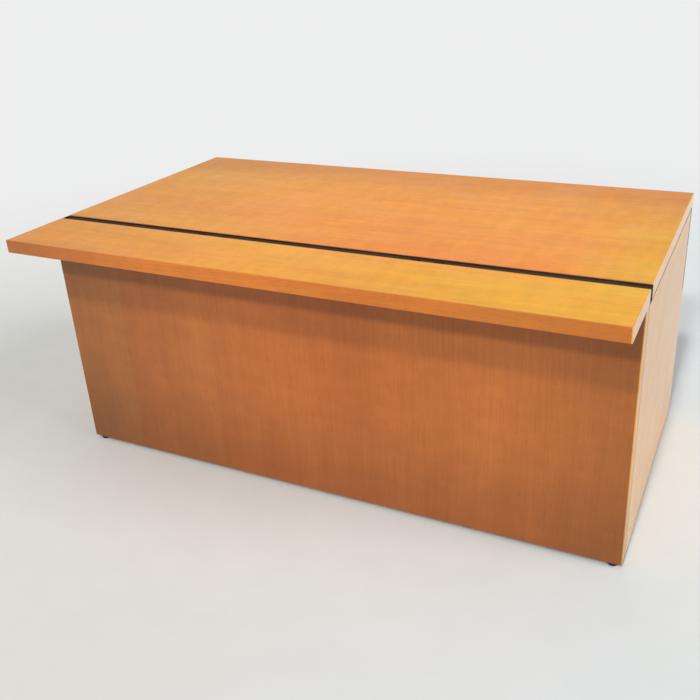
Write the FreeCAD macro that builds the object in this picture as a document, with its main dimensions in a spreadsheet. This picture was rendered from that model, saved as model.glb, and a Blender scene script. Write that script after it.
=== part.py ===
import os
from enum import IntEnum
from types import SimpleNamespace

import FreeCAD
import Part
import Sketcher

# A double pedestal desk in veneered board. The frame's origin is on the floor under the middle
# of the desk: X runs along the desk, -Y is the visitor's side, +Y is the side with the drawers.

# Driving dimensions in millimetres
SIZES = (
    # Tops: the user's main top and a narrower rear top, with an open slot between them
    ("desk_width", 1600),
    ("desk_height", 700),
    ("main_top_depth", 720),
    ("rear_top_depth", 202),
    ("slot_width", 28),
    ("top_thickness", 34),
    ("arris_radius", 1.2),
    # Upright boards
    ("visitor_overhang", 165),
    ("back_panel_thickness", 36),
    ("outer_side_thickness", 24),
    ("inner_side_thickness", 20),
    ("kneehole_width", 760),
    ("user_setback", 8),
    ("foot_gap", 12),
    ("shadow_line", 4),
    ("shadow_depth", 6),
    # Pedestal carcass
    ("deck_thickness", 20),
    ("base_thickness", 20),
    ("base_lift", 8),
    ("pedestal_back_thickness", 9),
    ("carcass_gap", 2),
    # Drawer fronts, inset between the sides
    ("front_thickness", 20),
    ("front_setback", 1),
    ("front_side_gap", 2),
    ("front_top_gap", 4),
    ("front_gap", 3),
    ("small_front_height", 116),
    ("centre_front_height", 66),
    ("finger_gap", 24),
    ("file_front_bevel", 10),
    # Vertical edge pulls of the small drawers, reached through a notch in the outer side
    ("grip_notch_depth", 28),
    ("pull_leaf", 3),
    ("pull_lip", 6),
    ("pull_end_gap", 1),
    # Drawer boxes
    ("drawer_board", 12),
    ("drawer_bottom", 6),
    ("groove_depth", 5),
    ("groove_lift", 8),
    ("small_box_height", 80),
    ("small_box_lift", 14),
    ("file_box_height", 250),
    ("file_box_lift", 12),
    ("centre_box_height", 38),
    ("centre_box_lift", 18),
    ("pedestal_box_depth", 560),
    ("centre_box_depth", 420),
    # Telescopic runners
    ("runner_space", 13),
    ("runner_height", 36),
    ("runner_wall", 1.5),
    ("runner_flange", 10),
    ("runner_clearance", 0.3),
    ("runner_setback", 5),
    ("pedestal_runner_length", 550),
    ("centre_runner_length", 400),
    ("small_runner_lift", 22),
    ("file_runner_lift", 90),
    ("centre_runner_lift", 1),
    # Cable duct in the slot, with a lift-out lid
    ("duct_wall", 1.5),
    ("duct_floor", 2),
    ("duct_rim_drop", 1),
    ("end_cap_thickness", 2),
    ("lid_drop", 5),
    ("lid_thickness", 2),
    ("lid_ledge", 3),
    ("lid_clearance", 0.3),
    ("outlet_offset", 300),
    ("outlet_tongue", 36),
    ("outlet_notch_width", 24),
    ("outlet_notch_depth", 18),
    ("cable_drop_length", 80),
    ("cable_drop_width", 14),
    # Cable tray on the back panel, in the kneehole
    ("tray_end_gap", 30),
    ("tray_width", 90),
    ("tray_depth", 60),
    ("tray_wall", 1.5),
    ("tray_top_gap", 90),
    ("tray_hanger", 50),
    # Steel bars let into the underside of the rear top, which carry its overhang
    ("bar_length", 175),
    ("bar_width", 40),
    ("bar_thickness", 5),
    ("bar_end_inset", 120),
    ("bar_screw_inset", 25),
    ("bar_screw_spacing", 80),
    # Screws that hold the bars to the rear top and the main top to the decks
    ("screw_head_radius", 5),
    ("screw_head_height", 2.5),
    ("screw_shank_radius", 2.2),
    ("screw_length", 22),
    ("screw_hole_clearance", 0.3),
    ("deck_screw_inset", 60),
    ("counterbore_depth", 10),
    ("counterbore_clearance", 1),
    # Levelling feet
    ("foot_radius", 14),
    ("foot_height", 10),
    ("foot_chamfer", 2),
    ("foot_stem_radius", 4),
    ("foot_stem_length", 36),
    ("foot_stem_clearance", 0.3),
    ("foot_end_inset", 24),
    ("foot_side_inset", 16),
    ("foot_user_inset", 45),
    ("socket_wall", 2.5),
    ("socket_length", 30),
    ("socket_fit", 0.05),
    ("socket_head_room", 3),
    # Cam locks
    ("lock_bezel_radius", 10),
    ("lock_bezel_height", 1.5),
    ("lock_barrel_radius", 8),
    ("lock_barrel_fit", 0.1),
    ("lock_barrel_tail", 10),
    ("lock_cam_length", 28),
    ("lock_cam_width", 12),
    ("lock_cam_thickness", 2.5),
    ("lock_key_slot", 2),
    ("lock_key_depth", 8),
    ("pedestal_lock_drop", 32),
    ("centre_lock_drop", 18),
    ("mortise_clearance", 2),
    # How far a cut runs past a face that it goes through
    ("overcut", 2),
)

doc = FreeCAD.newDocument("double_pedestal_desk")
sheet = doc.addObject("Spreadsheet::Sheet", "Sizes")
for row, (alias, value) in enumerate(SIZES, start=1):
    sheet.set(f"A{row}", alias)
    sheet.set(f"B{row}", str(value))
    sheet.setAlias(f"B{row}", alias)
doc.recompute()


class Size:
    """A length that knows its value and the sheet formula that gives it."""

    def __init__(self, value, formula):
        self.value = value
        self.formula = formula

    def __add__(self, other):
        return Size(self.value + other.value, f"({self.formula} + {other.formula})")

    def __sub__(self, other):
        return Size(self.value - other.value, f"({self.formula} - {other.formula})")

    def __mul__(self, factor):
        return Size(self.value * factor, f"({self.formula} * {factor})")

    def __truediv__(self, factor):
        return Size(self.value / factor, f"({self.formula} / {factor})")

    def __neg__(self):
        return self * -1


NIL = Size(0, "0")
mm = SimpleNamespace(**{alias: Size(value, f"Sizes.{alias}") for alias, value in SIZES})

# Places that several pieces share
half_width = mm.desk_width / 2
desk_depth = mm.rear_top_depth + mm.slot_width + mm.main_top_depth
visitor_edge = -desk_depth / 2
user_edge = desk_depth / 2
slot_start = visitor_edge + mm.rear_top_depth
slot_end = slot_start + mm.slot_width
top_underside = mm.desk_height - mm.top_thickness
board_height = top_underside - mm.foot_gap
panel_face = visitor_edge + mm.visitor_overhang
panel_inside = panel_face + mm.back_panel_thickness
side_edge = user_edge - mm.user_setback
side_depth = side_edge - panel_inside
front_face = side_edge - mm.front_setback
front_back = front_face - mm.front_thickness
carcass_front = front_back - mm.carcass_gap
inner_wall = mm.kneehole_width / 2 + mm.inner_side_thickness
outer_wall = half_width - mm.outer_side_thickness
base_underside = mm.foot_gap + mm.base_lift
base_top = base_underside + mm.base_thickness
deck_underside = top_underside - mm.deck_thickness

# Heights of the drawer fronts, from the top down
fronts_top = top_underside - mm.front_top_gap
upper_front_foot = fronts_top - mm.small_front_height
middle_front_foot = upper_front_foot - mm.front_gap - mm.small_front_height
file_front_foot = base_top + mm.front_side_gap
file_front_height = middle_front_foot - mm.finger_gap - file_front_foot
centre_front_foot = fronts_top - mm.centre_front_height
notch_foot = middle_front_foot - mm.front_side_gap

HANDS = {"left": -1, "right": 1}
FULL_TURN_DEGREES = 360
QUARTER_TURN_DEGREES = 90
ALONG_X = FreeCAD.Vector(1, 0, 0)
LYING_ALONG_Y = FreeCAD.Placement(FreeCAD.Vector(), FreeCAD.Rotation(ALONG_X, -QUARTER_TURN_DEGREES))


class Pick(IntEnum):
    """How a sketch names its own origin and the two ends of a line."""

    ORIGIN = -1
    START = 1
    END = 2


class Member(IntEnum):
    """The members of a telescopic runner, by how many steps they lie inside the cabinet member."""

    CABINET = 0
    MIDDLE = 1
    INNERMOST = 2


nodes = []
corner_of = {}
top_screws = []


def bind(thing, prop, length):
    """Tie a property to the sheet."""
    thing.setExpression(prop, length.formula)


def place(thing, corner):
    """Tie a placement to the sheet."""
    for axis, length in zip("xyz", corner):
        bind(thing, f"Placement.Base.{axis}", length)


def origin_plane(body, role):
    return next(plane for plane in body.Origin.OriginFeatures if plane.Role == role)


def new_body(label, corner):
    body = doc.addObject("PartDesign::Body", label)
    body.Label = label
    corner_of[body.Name] = corner
    place(body, corner)
    return body


def outline(body, role, points):
    """Sketch a closed outline of straight lines, each corner tied to the sheet."""
    sketch = body.newObject("Sketcher::SketchObject", "outline")
    sketch.AttachmentSupport = [(origin_plane(body, role), "")]
    sketch.MapMode = "FlatFace"
    ends = [FreeCAD.Vector(u.value, v.value, 0) for u, v in points]
    for i, start in enumerate(ends):
        sketch.addGeometry(Part.LineSegment(start, ends[(i + 1) % len(ends)]))
    for i, point in enumerate(points):
        following = (i + 1) % len(points)
        sketch.addConstraint(Sketcher.Constraint("Coincident", i, Pick.END, following, Pick.START))
        for kind, length in zip(("DistanceX", "DistanceY"), point):
            reach = Sketcher.Constraint(kind, Pick.ORIGIN, Pick.START, i, Pick.START, length.value)
            number = sketch.addConstraint(reach)
            sketch.renameConstraint(number, f"{kind}_{i}")
            bind(sketch, f"Constraints.{kind}_{i}", length)
    return sketch


def extrude(label, role, points, length, corner):
    """A body padded from an outline: up from XY, along +X from YZ, along +Y from XZ."""
    body = new_body(label, corner)
    sketch = outline(body, role, points)
    pad = body.newObject("PartDesign::Pad", "pad")
    pad.Profile = sketch
    pad.Reversed = role == "XZ_Plane"
    bind(pad, "Length", length)
    return body


def revolve(label, points, corner):
    """A body turned about Z from the outline of half its section."""
    body = new_body(label, corner)
    sketch = outline(body, "XZ_Plane", points)
    turn = body.newObject("PartDesign::Revolution", "turn")
    turn.Profile = sketch
    turn.ReferenceAxis = (sketch, ["V_Axis"])
    turn.Angle = FULL_TURN_DEGREES
    return body


def round_edges(body):
    """Break every edge of a board with the arris radius."""
    doc.recompute()
    base = body.Tip
    arris = body.newObject("PartDesign::Fillet", "arris")
    arris.Base = (base, ["Edge1"])
    arris.UseAllEdges = True
    bind(arris, "Radius", mm.arris_radius)


def board(label, corner, extent, rounded=True):
    """A flat board, given its lowest corner and its extent along X, Y and Z."""
    wide, deep, high = extent
    points = ((NIL, NIL), (wide, NIL), (wide, deep), (NIL, deep))
    body = extrude(label, "XY_Plane", points, high, corner)
    if rounded:
        round_edges(body)
    return body


def cut_box(body, corner, extent):
    """Cut a box out of a body, given its lowest corner in the desk's frame."""
    own = corner_of[body.Name]
    box = body.newObject("PartDesign::SubtractiveBox", "recess")
    for prop, length in zip(("Length", "Width", "Height"), extent):
        bind(box, prop, length)
    place(box, [there - here for there, here in zip(corner, own)])


def bore(body, centre, radius, depth, along_y=False):
    """Drill a round hole up from a centre in the desk's frame, or along +Y."""
    own = corner_of[body.Name]
    hole = body.newObject("PartDesign::SubtractiveCylinder", "bore")
    bind(hole, "Radius", radius)
    bind(hole, "Height", depth)
    if along_y:
        hole.Placement = LYING_ALONG_Y
    place(hole, [there - here for there, here in zip(centre, own)])


def keep(body):
    """List a single body as a node."""
    nodes.append(body)
    return body


def keep_group(label, members):
    """List several solids as one node."""
    group = doc.addObject("Part::Compound", label)
    group.Label = label
    group.Links = members
    nodes.append(group)
    return group


def across(hand, start, width):
    """Lowest X of a piece that lies from start to start + width out from the middle."""
    return start if HANDS[hand] > 0 else -(start + width)


def make_tops():
    main = board("main_top", (-half_width, slot_end, top_underside),
                 (mm.desk_width, mm.main_top_depth, mm.top_thickness))
    cut_cam_mortise(main, NIL, fronts_top - mm.centre_lock_drop, top_underside)
    keep(main)
    rear = board("rear_top", (-half_width, visitor_edge, top_underside),
                 (mm.desk_width, mm.rear_top_depth, mm.top_thickness))
    for x in bar_places():
        cut_box(rear, (x - mm.bar_width / 2, panel_inside - mm.bar_length, top_underside),
                (mm.bar_width, mm.bar_length, mm.bar_thickness))
    keep(rear)


def bar_places():
    """Four bars at equal spacing along the rear top."""
    end_bar = half_width - mm.bar_end_inset
    return (-end_bar, -end_bar / 3, end_bar / 3, end_bar)


def cut_cam_mortise(body, x, axis_height, face_height):
    """The slot over a lock that its cam turns up into."""
    wide = mm.lock_cam_length * 2
    deep = mm.lock_cam_thickness + mm.mortise_clearance * 2
    high = axis_height + mm.lock_cam_length + mm.mortise_clearance - face_height
    start = cam_back() - mm.mortise_clearance
    cut_box(body, (x - mm.lock_cam_length, start, face_height), (wide, deep, high))


def cam_back():
    return front_back - mm.lock_barrel_tail - mm.lock_cam_thickness


def make_overhang_bars():
    bars = []
    first_hole = panel_face - mm.bar_screw_inset
    for i, x in enumerate(bar_places(), start=1):
        corner = (x - mm.bar_width / 2, panel_inside - mm.bar_length, top_underside)
        extent = (mm.bar_width, mm.bar_length, mm.bar_thickness)
        bar = board(f"overhang_bar_{i}", corner, extent, rounded=False)
        for y in (first_hole, first_hole - mm.bar_screw_spacing):
            bore(bar, (x, y, top_underside), screw_hole_radius(), mm.bar_thickness)
            add_screw((x, y, top_underside))
        bars.append(bar)
    keep_group("overhang_bars", bars)


def screw_hole_radius():
    return mm.screw_shank_radius + mm.screw_hole_clearance


def add_screw(seat):
    """A screw driven up, with the underside of its head against a seat."""
    x, y, z = seat
    top_screws.append(make_screw(f"top_screw_{len(top_screws) + 1}", (x, y, z - mm.screw_head_height)))


def make_screw(label, corner):
    """A pan-head screw that points up, with its head's lower edge bevelled."""
    crown = mm.screw_head_radius - mm.screw_head_height / 2
    shoulder = mm.screw_head_height / 2
    tip = mm.screw_head_height + mm.screw_length
    points = (
        (NIL, NIL),
        (crown, NIL),
        (mm.screw_head_radius, shoulder),
        (mm.screw_head_radius, mm.screw_head_height),
        (mm.screw_shank_radius, mm.screw_head_height),
        (mm.screw_shank_radius, tip - mm.screw_shank_radius),
        (NIL, tip),
    )
    return revolve(label, points, corner)


def make_back_panel():
    panel = board("back_panel", (-half_width, panel_face, mm.foot_gap),
                  (mm.desk_width, mm.back_panel_thickness, board_height))
    for hand in HANDS:
        drill_foot_hole(panel, back_foot(hand))
    keep(panel)


def make_pedestal(hand):
    outer_low = across(hand, outer_wall, mm.outer_side_thickness)
    outer = board(f"{hand}_outer_side", (outer_low, panel_inside, mm.foot_gap),
                  (mm.outer_side_thickness, side_depth, board_height))
    cut_shadow_lines(hand, outer)
    cut_grip_notch(hand, outer)
    drill_foot_hole(outer, outer_foot(hand))
    keep(outer)
    inner_low = across(hand, mm.kneehole_width / 2, mm.inner_side_thickness)
    inner = board(f"{hand}_inner_side", (inner_low, panel_inside, mm.foot_gap),
                  (mm.inner_side_thickness, side_depth, board_height))
    drill_foot_hole(inner, inner_foot(hand))
    keep(inner)
    inside_width = outer_wall - inner_wall
    low_wall = across(hand, inner_wall, inside_width)
    keep(board(f"{hand}_base", (low_wall, panel_inside, base_underside),
               (inside_width, front_face - panel_inside, mm.base_thickness), rounded=False))
    keep(board(f"{hand}_back", (low_wall, panel_inside, base_top),
               (inside_width, mm.pedestal_back_thickness, top_underside - base_top), rounded=False))
    deck_start = panel_inside + mm.pedestal_back_thickness
    deck = board(f"{hand}_deck", (low_wall, deck_start, deck_underside),
                 (inside_width, carcass_front - deck_start, mm.deck_thickness), rounded=False)
    cut_cam_mortise(deck, pedestal_middle(hand), fronts_top - mm.pedestal_lock_drop, deck_underside)
    for x in (low_wall + mm.deck_screw_inset, low_wall + inside_width - mm.deck_screw_inset):
        for y in (deck_start + mm.deck_screw_inset, carcass_front - mm.deck_screw_inset):
            screw_deck(deck, x, y)
    keep(deck)


def screw_deck(deck, x, y):
    """A counterbored hole in a deck and the screw that goes up through it into the main top."""
    head_hole = mm.screw_head_radius + mm.counterbore_clearance
    bore(deck, (x, y, deck_underside), head_hole, mm.counterbore_depth)
    bore(deck, (x, y, deck_underside), screw_hole_radius(), mm.deck_thickness)
    add_screw((x, y, deck_underside + mm.counterbore_depth))


def pedestal_middle(hand):
    return (inner_wall + outer_wall) / 2 * HANDS[hand]


def cut_shadow_lines(hand, outer):
    """Rebates in the outer face that set it off from the back panel and from the top."""
    rebate_start = half_width - mm.shadow_depth
    rebate_x = across(hand, rebate_start, mm.shadow_depth)
    cut_box(outer, (rebate_x, panel_inside, mm.foot_gap), (mm.shadow_depth, mm.shadow_line, board_height))
    cut_box(outer, (rebate_x, panel_inside, top_underside - mm.shadow_line),
            (mm.shadow_depth, side_depth, mm.shadow_line))


def cut_grip_notch(hand, outer):
    """The user-side edge is cut back beside the two small drawers, for the fingers."""
    width = mm.outer_side_thickness + mm.overcut * 2
    x = across(hand, outer_wall - mm.overcut, width)
    cut_box(outer, (x, side_edge - mm.grip_notch_depth, notch_foot),
            (width, mm.grip_notch_depth + mm.overcut, top_underside - notch_foot + mm.overcut))


def back_foot(hand):
    return ((half_width - mm.foot_end_inset) * HANDS[hand], (panel_face + panel_inside) / 2)


def outer_foot(hand):
    return ((half_width - mm.foot_side_inset) * HANDS[hand], side_edge - mm.foot_user_inset)


def inner_foot(hand):
    return ((mm.kneehole_width / 2 + inner_wall) / 2 * HANDS[hand], side_edge - mm.foot_user_inset)


def socket_radius():
    return mm.foot_stem_radius + mm.foot_stem_clearance + mm.socket_wall


def drill_foot_hole(body, spot):
    x, y = spot
    depth = mm.foot_height + mm.foot_stem_length + mm.socket_head_room - mm.foot_gap
    bore(body, (x, y, mm.foot_gap), socket_radius() + mm.socket_fit, depth)


def make_feet():
    sockets = []
    for hand in HANDS:
        for spot_name, spot in (("back", back_foot), ("outer", outer_foot), ("inner", inner_foot)):
            x, y = spot(hand)
            keep(make_foot(f"foot_{spot_name}_{hand}", (x, y, NIL)))
            sockets.append(make_socket(f"socket_{spot_name}_{hand}", (x, y, mm.foot_gap)))
    keep_group("foot_sockets", sockets)


def make_foot(label, corner):
    """A round glide turned in one piece with its screw stem."""
    rim = mm.foot_radius - mm.foot_chamfer
    stem_top = mm.foot_height + mm.foot_stem_length
    points = (
        (NIL, NIL),
        (rim, NIL),
        (mm.foot_radius, mm.foot_chamfer),
        (mm.foot_radius, mm.foot_height - mm.foot_chamfer),
        (rim, mm.foot_height),
        (mm.foot_stem_radius, mm.foot_height),
        (mm.foot_stem_radius, stem_top),
        (NIL, stem_top),
    )
    return revolve(label, points, corner)


def make_socket(label, corner):
    """The threaded sleeve that a foot's stem screws into."""
    stem_bore = mm.foot_stem_radius + mm.foot_stem_clearance
    points = (
        (stem_bore, NIL),
        (socket_radius(), NIL),
        (socket_radius(), mm.socket_length),
        (stem_bore, mm.socket_length),
    )
    return revolve(label, points, corner)


def make_duct():
    """A stepped channel that lines the slot, its two end caps and the lid that lies on its ledges."""
    inner_length = mm.desk_width - mm.end_cap_thickness * 2
    duct_height = mm.top_thickness - mm.duct_rim_drop
    ledge_height = mm.top_thickness - mm.lid_drop - mm.lid_thickness
    rim = mm.duct_wall
    trough = mm.duct_wall + mm.lid_ledge
    points = (
        (NIL, NIL),
        (mm.slot_width, NIL),
        (mm.slot_width, duct_height),
        (mm.slot_width - rim, duct_height),
        (mm.slot_width - rim, ledge_height),
        (mm.slot_width - trough, ledge_height),
        (mm.slot_width - trough, mm.duct_floor),
        (trough, mm.duct_floor),
        (trough, ledge_height),
        (rim, ledge_height),
        (rim, duct_height),
        (NIL, duct_height),
    )
    corner = (-inner_length / 2, slot_start, top_underside)
    duct = extrude("cable_duct", "YZ_Plane", points, inner_length, corner)
    drop_y = slot_start + (mm.slot_width - mm.cable_drop_width) / 2
    for x in (-mm.outlet_offset, mm.outlet_offset):
        cut_box(duct, (x - mm.cable_drop_length / 2, drop_y, top_underside - mm.overcut),
                (mm.cable_drop_length, mm.cable_drop_width, mm.duct_floor + mm.overcut * 2))
    keep(duct)
    caps = []
    for hand in HANDS:
        corner = (across(hand, inner_length / 2, mm.end_cap_thickness), slot_start, top_underside)
        extent = (mm.end_cap_thickness, mm.slot_width, duct_height)
        caps.append(board(f"duct_end_cap_{hand}", corner, extent, rounded=False))
    keep_group("duct_end_caps", caps)
    make_lid(inner_length, top_underside + ledge_height)


def make_lid(inner_length, ledge_top):
    """The lid, with two pairs of notches that let cables out beside a lifting tongue."""
    lid_length = inner_length - mm.lid_clearance * 2
    lid_start = slot_start + mm.duct_wall + mm.lid_clearance
    lid_width = mm.slot_width - (mm.duct_wall + mm.lid_clearance) * 2
    lid = board("duct_lid", (-lid_length / 2, lid_start, ledge_top),
                (lid_length, lid_width, mm.lid_thickness), rounded=False)
    notch = (mm.outlet_notch_width, mm.outlet_notch_depth + mm.overcut, mm.lid_thickness + mm.overcut * 2)
    half_tongue = mm.outlet_tongue / 2
    for middle in (-mm.outlet_offset, mm.outlet_offset):
        for x in (middle - half_tongue - mm.outlet_notch_width, middle + half_tongue):
            cut_box(lid, (x, lid_start - mm.overcut, ledge_top - mm.overcut), notch)
    keep(lid)


def make_cable_tray():
    """A folded sheet tray, hung on the back panel by its taller rear wall."""
    wall = mm.tray_wall
    rear_height = mm.tray_depth + mm.tray_hanger
    points = (
        (NIL, NIL),
        (mm.tray_width, NIL),
        (mm.tray_width, mm.tray_depth),
        (mm.tray_width - wall, mm.tray_depth),
        (mm.tray_width - wall, wall),
        (wall, wall),
        (wall, rear_height),
        (NIL, rear_height),
    )
    foot = top_underside - mm.tray_top_gap - mm.tray_depth
    length = mm.kneehole_width - mm.tray_end_gap * 2
    keep(extrude("cable_tray", "YZ_Plane", points, length, (-length / 2, panel_inside, foot)))


def channel(label, length, height, flange, corner, facing):
    """A C-section runner member along +Y, its web on the corner and its open side facing +X or -X."""
    wall = mm.runner_wall
    points = (
        (NIL, NIL),
        (flange, NIL),
        (flange, wall),
        (wall, wall),
        (wall, height - wall),
        (flange, height - wall),
        (flange, height),
        (NIL, height),
    )
    return extrude(label, "XZ_Plane", [(u * facing, v) for u, v in points], length, corner)


def nested_height(member):
    """Height of a runner member, which clears the one around it."""
    return mm.runner_height - (mm.runner_wall + mm.runner_clearance) * 2 * int(member)


def runner_pair(label, spec, member, offset, flange, outward=False):
    """Two mirrored runner members, each at an offset in from the drawer's walls."""
    height = nested_height(member)
    y = front_back - mm.runner_setback - spec.runner_length
    z = spec.box_foot + spec.runner_lift + (mm.runner_height - height) / 2
    pair = []
    for side, x, facing in (("a", spec.low + offset, 1), ("b", spec.high - offset, -1)):
        turned = -facing if outward else facing
        name = f"{spec.name}_{label}_{side}"
        pair.append(channel(name, spec.runner_length, height, flange, (x, y, z), turned))
    return pair


def make_runners(spec):
    """The drawer's own members and, for a full-extension drawer, the sliders between."""
    flange = mm.runner_flange
    if spec.full_extension:
        slider_start = mm.runner_wall + mm.runner_clearance
        own_flange = flange - slider_start
        own = runner_pair("runner", spec, Member.INNERMOST, mm.runner_space, own_flange, outward=True)
        sliders = runner_pair("slider", spec, Member.MIDDLE, slider_start, flange)
        keep_group(f"{spec.name}_sliders", sliders)
    else:
        own = runner_pair("runner", spec, Member.MIDDLE, mm.runner_space, flange, outward=True)
    keep_group(f"{spec.name}_runners", own)
    return runner_pair("rail", spec, Member.CABINET, NIL, flange)


def drawer_side(label, spec, x, facing):
    """A drawer side with a groove for the bottom, its outer face at x."""
    thick = mm.drawer_board
    groove_top = mm.groove_lift + mm.drawer_bottom
    groove_wall = thick - mm.groove_depth
    points = (
        (NIL, NIL),
        (thick, NIL),
        (thick, mm.groove_lift),
        (groove_wall, mm.groove_lift),
        (groove_wall, groove_top),
        (thick, groove_top),
        (thick, spec.box_height),
        (NIL, spec.box_height),
    )
    corner = (x, front_back - spec.box_depth, spec.box_foot)
    return extrude(label, "XZ_Plane", [(u * facing, v) for u, v in points], spec.box_depth, corner)


def make_box(spec):
    """Two grooved sides, a bottom slid into the grooves and a back that stands on it."""
    low = spec.low + mm.runner_space
    high = spec.high - mm.runner_space
    rear = front_back - spec.box_depth
    bottom_low = low + mm.drawer_board - mm.groove_depth
    bottom_high = high - mm.drawer_board + mm.groove_depth
    bottom_foot = spec.box_foot + mm.groove_lift
    back_foot_height = bottom_foot + mm.drawer_bottom
    inside = high - low - mm.drawer_board * 2
    bottom = board(f"{spec.name}_bottom", (bottom_low, rear, bottom_foot),
                   (bottom_high - bottom_low, spec.box_depth, mm.drawer_bottom), rounded=False)
    back = board(f"{spec.name}_box_back", (low + mm.drawer_board, rear, back_foot_height),
                 (inside, mm.drawer_board, spec.box_foot + spec.box_height - back_foot_height), rounded=False)
    side_a = drawer_side(f"{spec.name}_side_a", spec, low, 1)
    side_b = drawer_side(f"{spec.name}_side_b", spec, high, -1)
    keep_group(f"{spec.name}_box", [side_a, side_b, bottom, back])


def make_front(spec):
    """An inset front. A small drawer's stops short at its outer end, where the pull is."""
    low = spec.low + mm.front_side_gap
    wide = spec.high - mm.front_side_gap - low
    if spec.pull_hand:
        wide = wide - mm.pull_leaf
        low = low if HANDS[spec.pull_hand] > 0 else low + mm.pull_leaf
    if spec.full_extension:
        points = (
            (NIL, NIL),
            (mm.front_thickness, NIL),
            (mm.front_thickness, spec.front_height),
            (mm.file_front_bevel, spec.front_height),
            (NIL, spec.front_height - mm.file_front_bevel),
        )
        front = extrude(f"{spec.name}_front", "YZ_Plane", points, wide, (low, front_back, spec.front_foot))
        round_edges(front)
    else:
        front = board(f"{spec.name}_front", (low, front_back, spec.front_foot),
                      (wide, mm.front_thickness, spec.front_height))
    if spec.lock_drop:
        bore(front, (spec.middle, front_back - mm.overcut, fronts_top - spec.lock_drop),
             mm.lock_barrel_radius + mm.lock_barrel_fit, mm.front_thickness + mm.overcut * 2, along_y=True)
    keep(front)


def make_pull(spec):
    """An L-shaped edge pull: a leaf on the front's end and a lip across the notch."""
    facing = HANDS[spec.pull_hand]
    leaf_start = outer_wall - mm.front_side_gap - mm.pull_leaf
    reach = half_width - mm.pull_end_gap - leaf_start
    lip_back = mm.front_thickness - mm.pull_lip
    points = (
        (NIL, NIL),
        (mm.pull_leaf, NIL),
        (mm.pull_leaf, lip_back),
        (reach, lip_back),
        (reach, mm.front_thickness),
        (NIL, mm.front_thickness),
    )
    turned = [(u * facing, v) for u, v in points]
    corner = (leaf_start * facing, front_back, spec.front_foot)
    keep(extrude(f"{spec.name}_pull", "XY_Plane", turned, spec.front_height, corner))


def make_lock(hand, x, drop):
    """A cylinder lock through a drawer front, its cam at rest along -X."""
    axis_height = fronts_top - drop
    body = new_body(f"{hand}_lock", (x, front_face, axis_height))
    barrel_length = mm.front_thickness + mm.lock_barrel_tail
    barrel = (mm.lock_barrel_radius, -barrel_length, barrel_length)
    bezel = (mm.lock_bezel_radius, NIL, mm.lock_bezel_height)
    for radius, start, length in (barrel, bezel):
        round_part = body.newObject("PartDesign::AdditiveCylinder", "turned")
        round_part.Placement = LYING_ALONG_Y
        bind(round_part, "Radius", radius)
        bind(round_part, "Height", length)
        place(round_part, (NIL, start, NIL))
    half_cam = mm.lock_cam_width / 2
    cam = body.newObject("PartDesign::AdditiveBox", "cam")
    cam_sizes = (mm.lock_cam_length + half_cam, mm.lock_cam_thickness, mm.lock_cam_width)
    for prop, length in zip(("Length", "Width", "Height"), cam_sizes):
        bind(cam, prop, length)
    place(cam, (-mm.lock_cam_length, -barrel_length - mm.lock_cam_thickness, -half_cam))
    slot_height = mm.lock_barrel_radius
    slot_back = front_face + mm.lock_bezel_height - mm.lock_key_depth
    cut_box(body, (x - mm.lock_key_slot / 2, slot_back, axis_height - slot_height / 2),
            (mm.lock_key_slot, mm.lock_key_depth, slot_height))
    keep(body)


def pedestal_drawer(hand, place_name, front_foot, front_height, box, pull, lock_drop):
    box_lift, box_height, runner_lift = box
    inside_width = outer_wall - inner_wall
    low = across(hand, inner_wall, inside_width)
    return SimpleNamespace(
        name=f"{hand}_{place_name}",
        low=low,
        high=low + inside_width,
        middle=pedestal_middle(hand),
        front_foot=front_foot,
        front_height=front_height,
        box_foot=front_foot + box_lift,
        box_height=box_height,
        box_depth=mm.pedestal_box_depth,
        runner_length=mm.pedestal_runner_length,
        runner_lift=runner_lift,
        full_extension=not pull,
        pull_hand=hand if pull else None,
        lock_drop=lock_drop,
    )


def pedestal_drawers(hand):
    small_box = (mm.small_box_lift, mm.small_box_height, mm.small_runner_lift)
    file_box = (mm.file_box_lift, mm.file_box_height, mm.file_runner_lift)
    height = mm.small_front_height
    return (
        pedestal_drawer(hand, "upper", upper_front_foot, height, small_box, True, mm.pedestal_lock_drop),
        pedestal_drawer(hand, "middle", middle_front_foot, height, small_box, True, None),
        pedestal_drawer(hand, "file", file_front_foot, file_front_height, file_box, False, None),
    )


def centre_drawer():
    return SimpleNamespace(
        name="centre",
        low=-mm.kneehole_width / 2,
        high=mm.kneehole_width / 2,
        middle=NIL,
        front_foot=centre_front_foot,
        front_height=mm.centre_front_height,
        box_foot=centre_front_foot + mm.centre_box_lift,
        box_height=mm.centre_box_height,
        box_depth=mm.centre_box_depth,
        runner_length=mm.centre_runner_length,
        runner_lift=mm.centre_runner_lift,
        full_extension=False,
        pull_hand=None,
        lock_drop=mm.centre_lock_drop,
    )


def make_drawer(spec):
    """One drawer, returning the rails that stay on the carcass."""
    make_front(spec)
    make_box(spec)
    if spec.pull_hand:
        make_pull(spec)
    return make_runners(spec)


def make_drawers():
    for hand in HANDS:
        rails = []
        for spec in pedestal_drawers(hand):
            rails += make_drawer(spec)
        keep_group(f"{hand}_rails", rails)
        make_lock(hand, pedestal_middle(hand), mm.pedestal_lock_drop)
    keep_group("centre_rails", make_drawer(centre_drawer()))
    make_lock("centre", NIL, mm.centre_lock_drop)


def check_document():
    for thing in doc.Objects:
        for fault in ("Invalid", "Error"):
            if fault in thing.State:
                raise RuntimeError(f"{thing.Label} is {fault}")
    for node in nodes:
        if node.Shape.isNull() or not node.Shape.isValid():
            raise RuntimeError(f"{node.Label} has no valid shape")


def write_nodes():
    os.makedirs("parts", exist_ok=True)
    for node in nodes:
        node.Shape.exportStep(f"parts/{node.Label}.step")
        print(f"{node.Label}: {len(node.Shape.Solids)} solids, {node.Shape.Volume:.0f} mm3")
    print(f"{len(nodes)} nodes")


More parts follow.
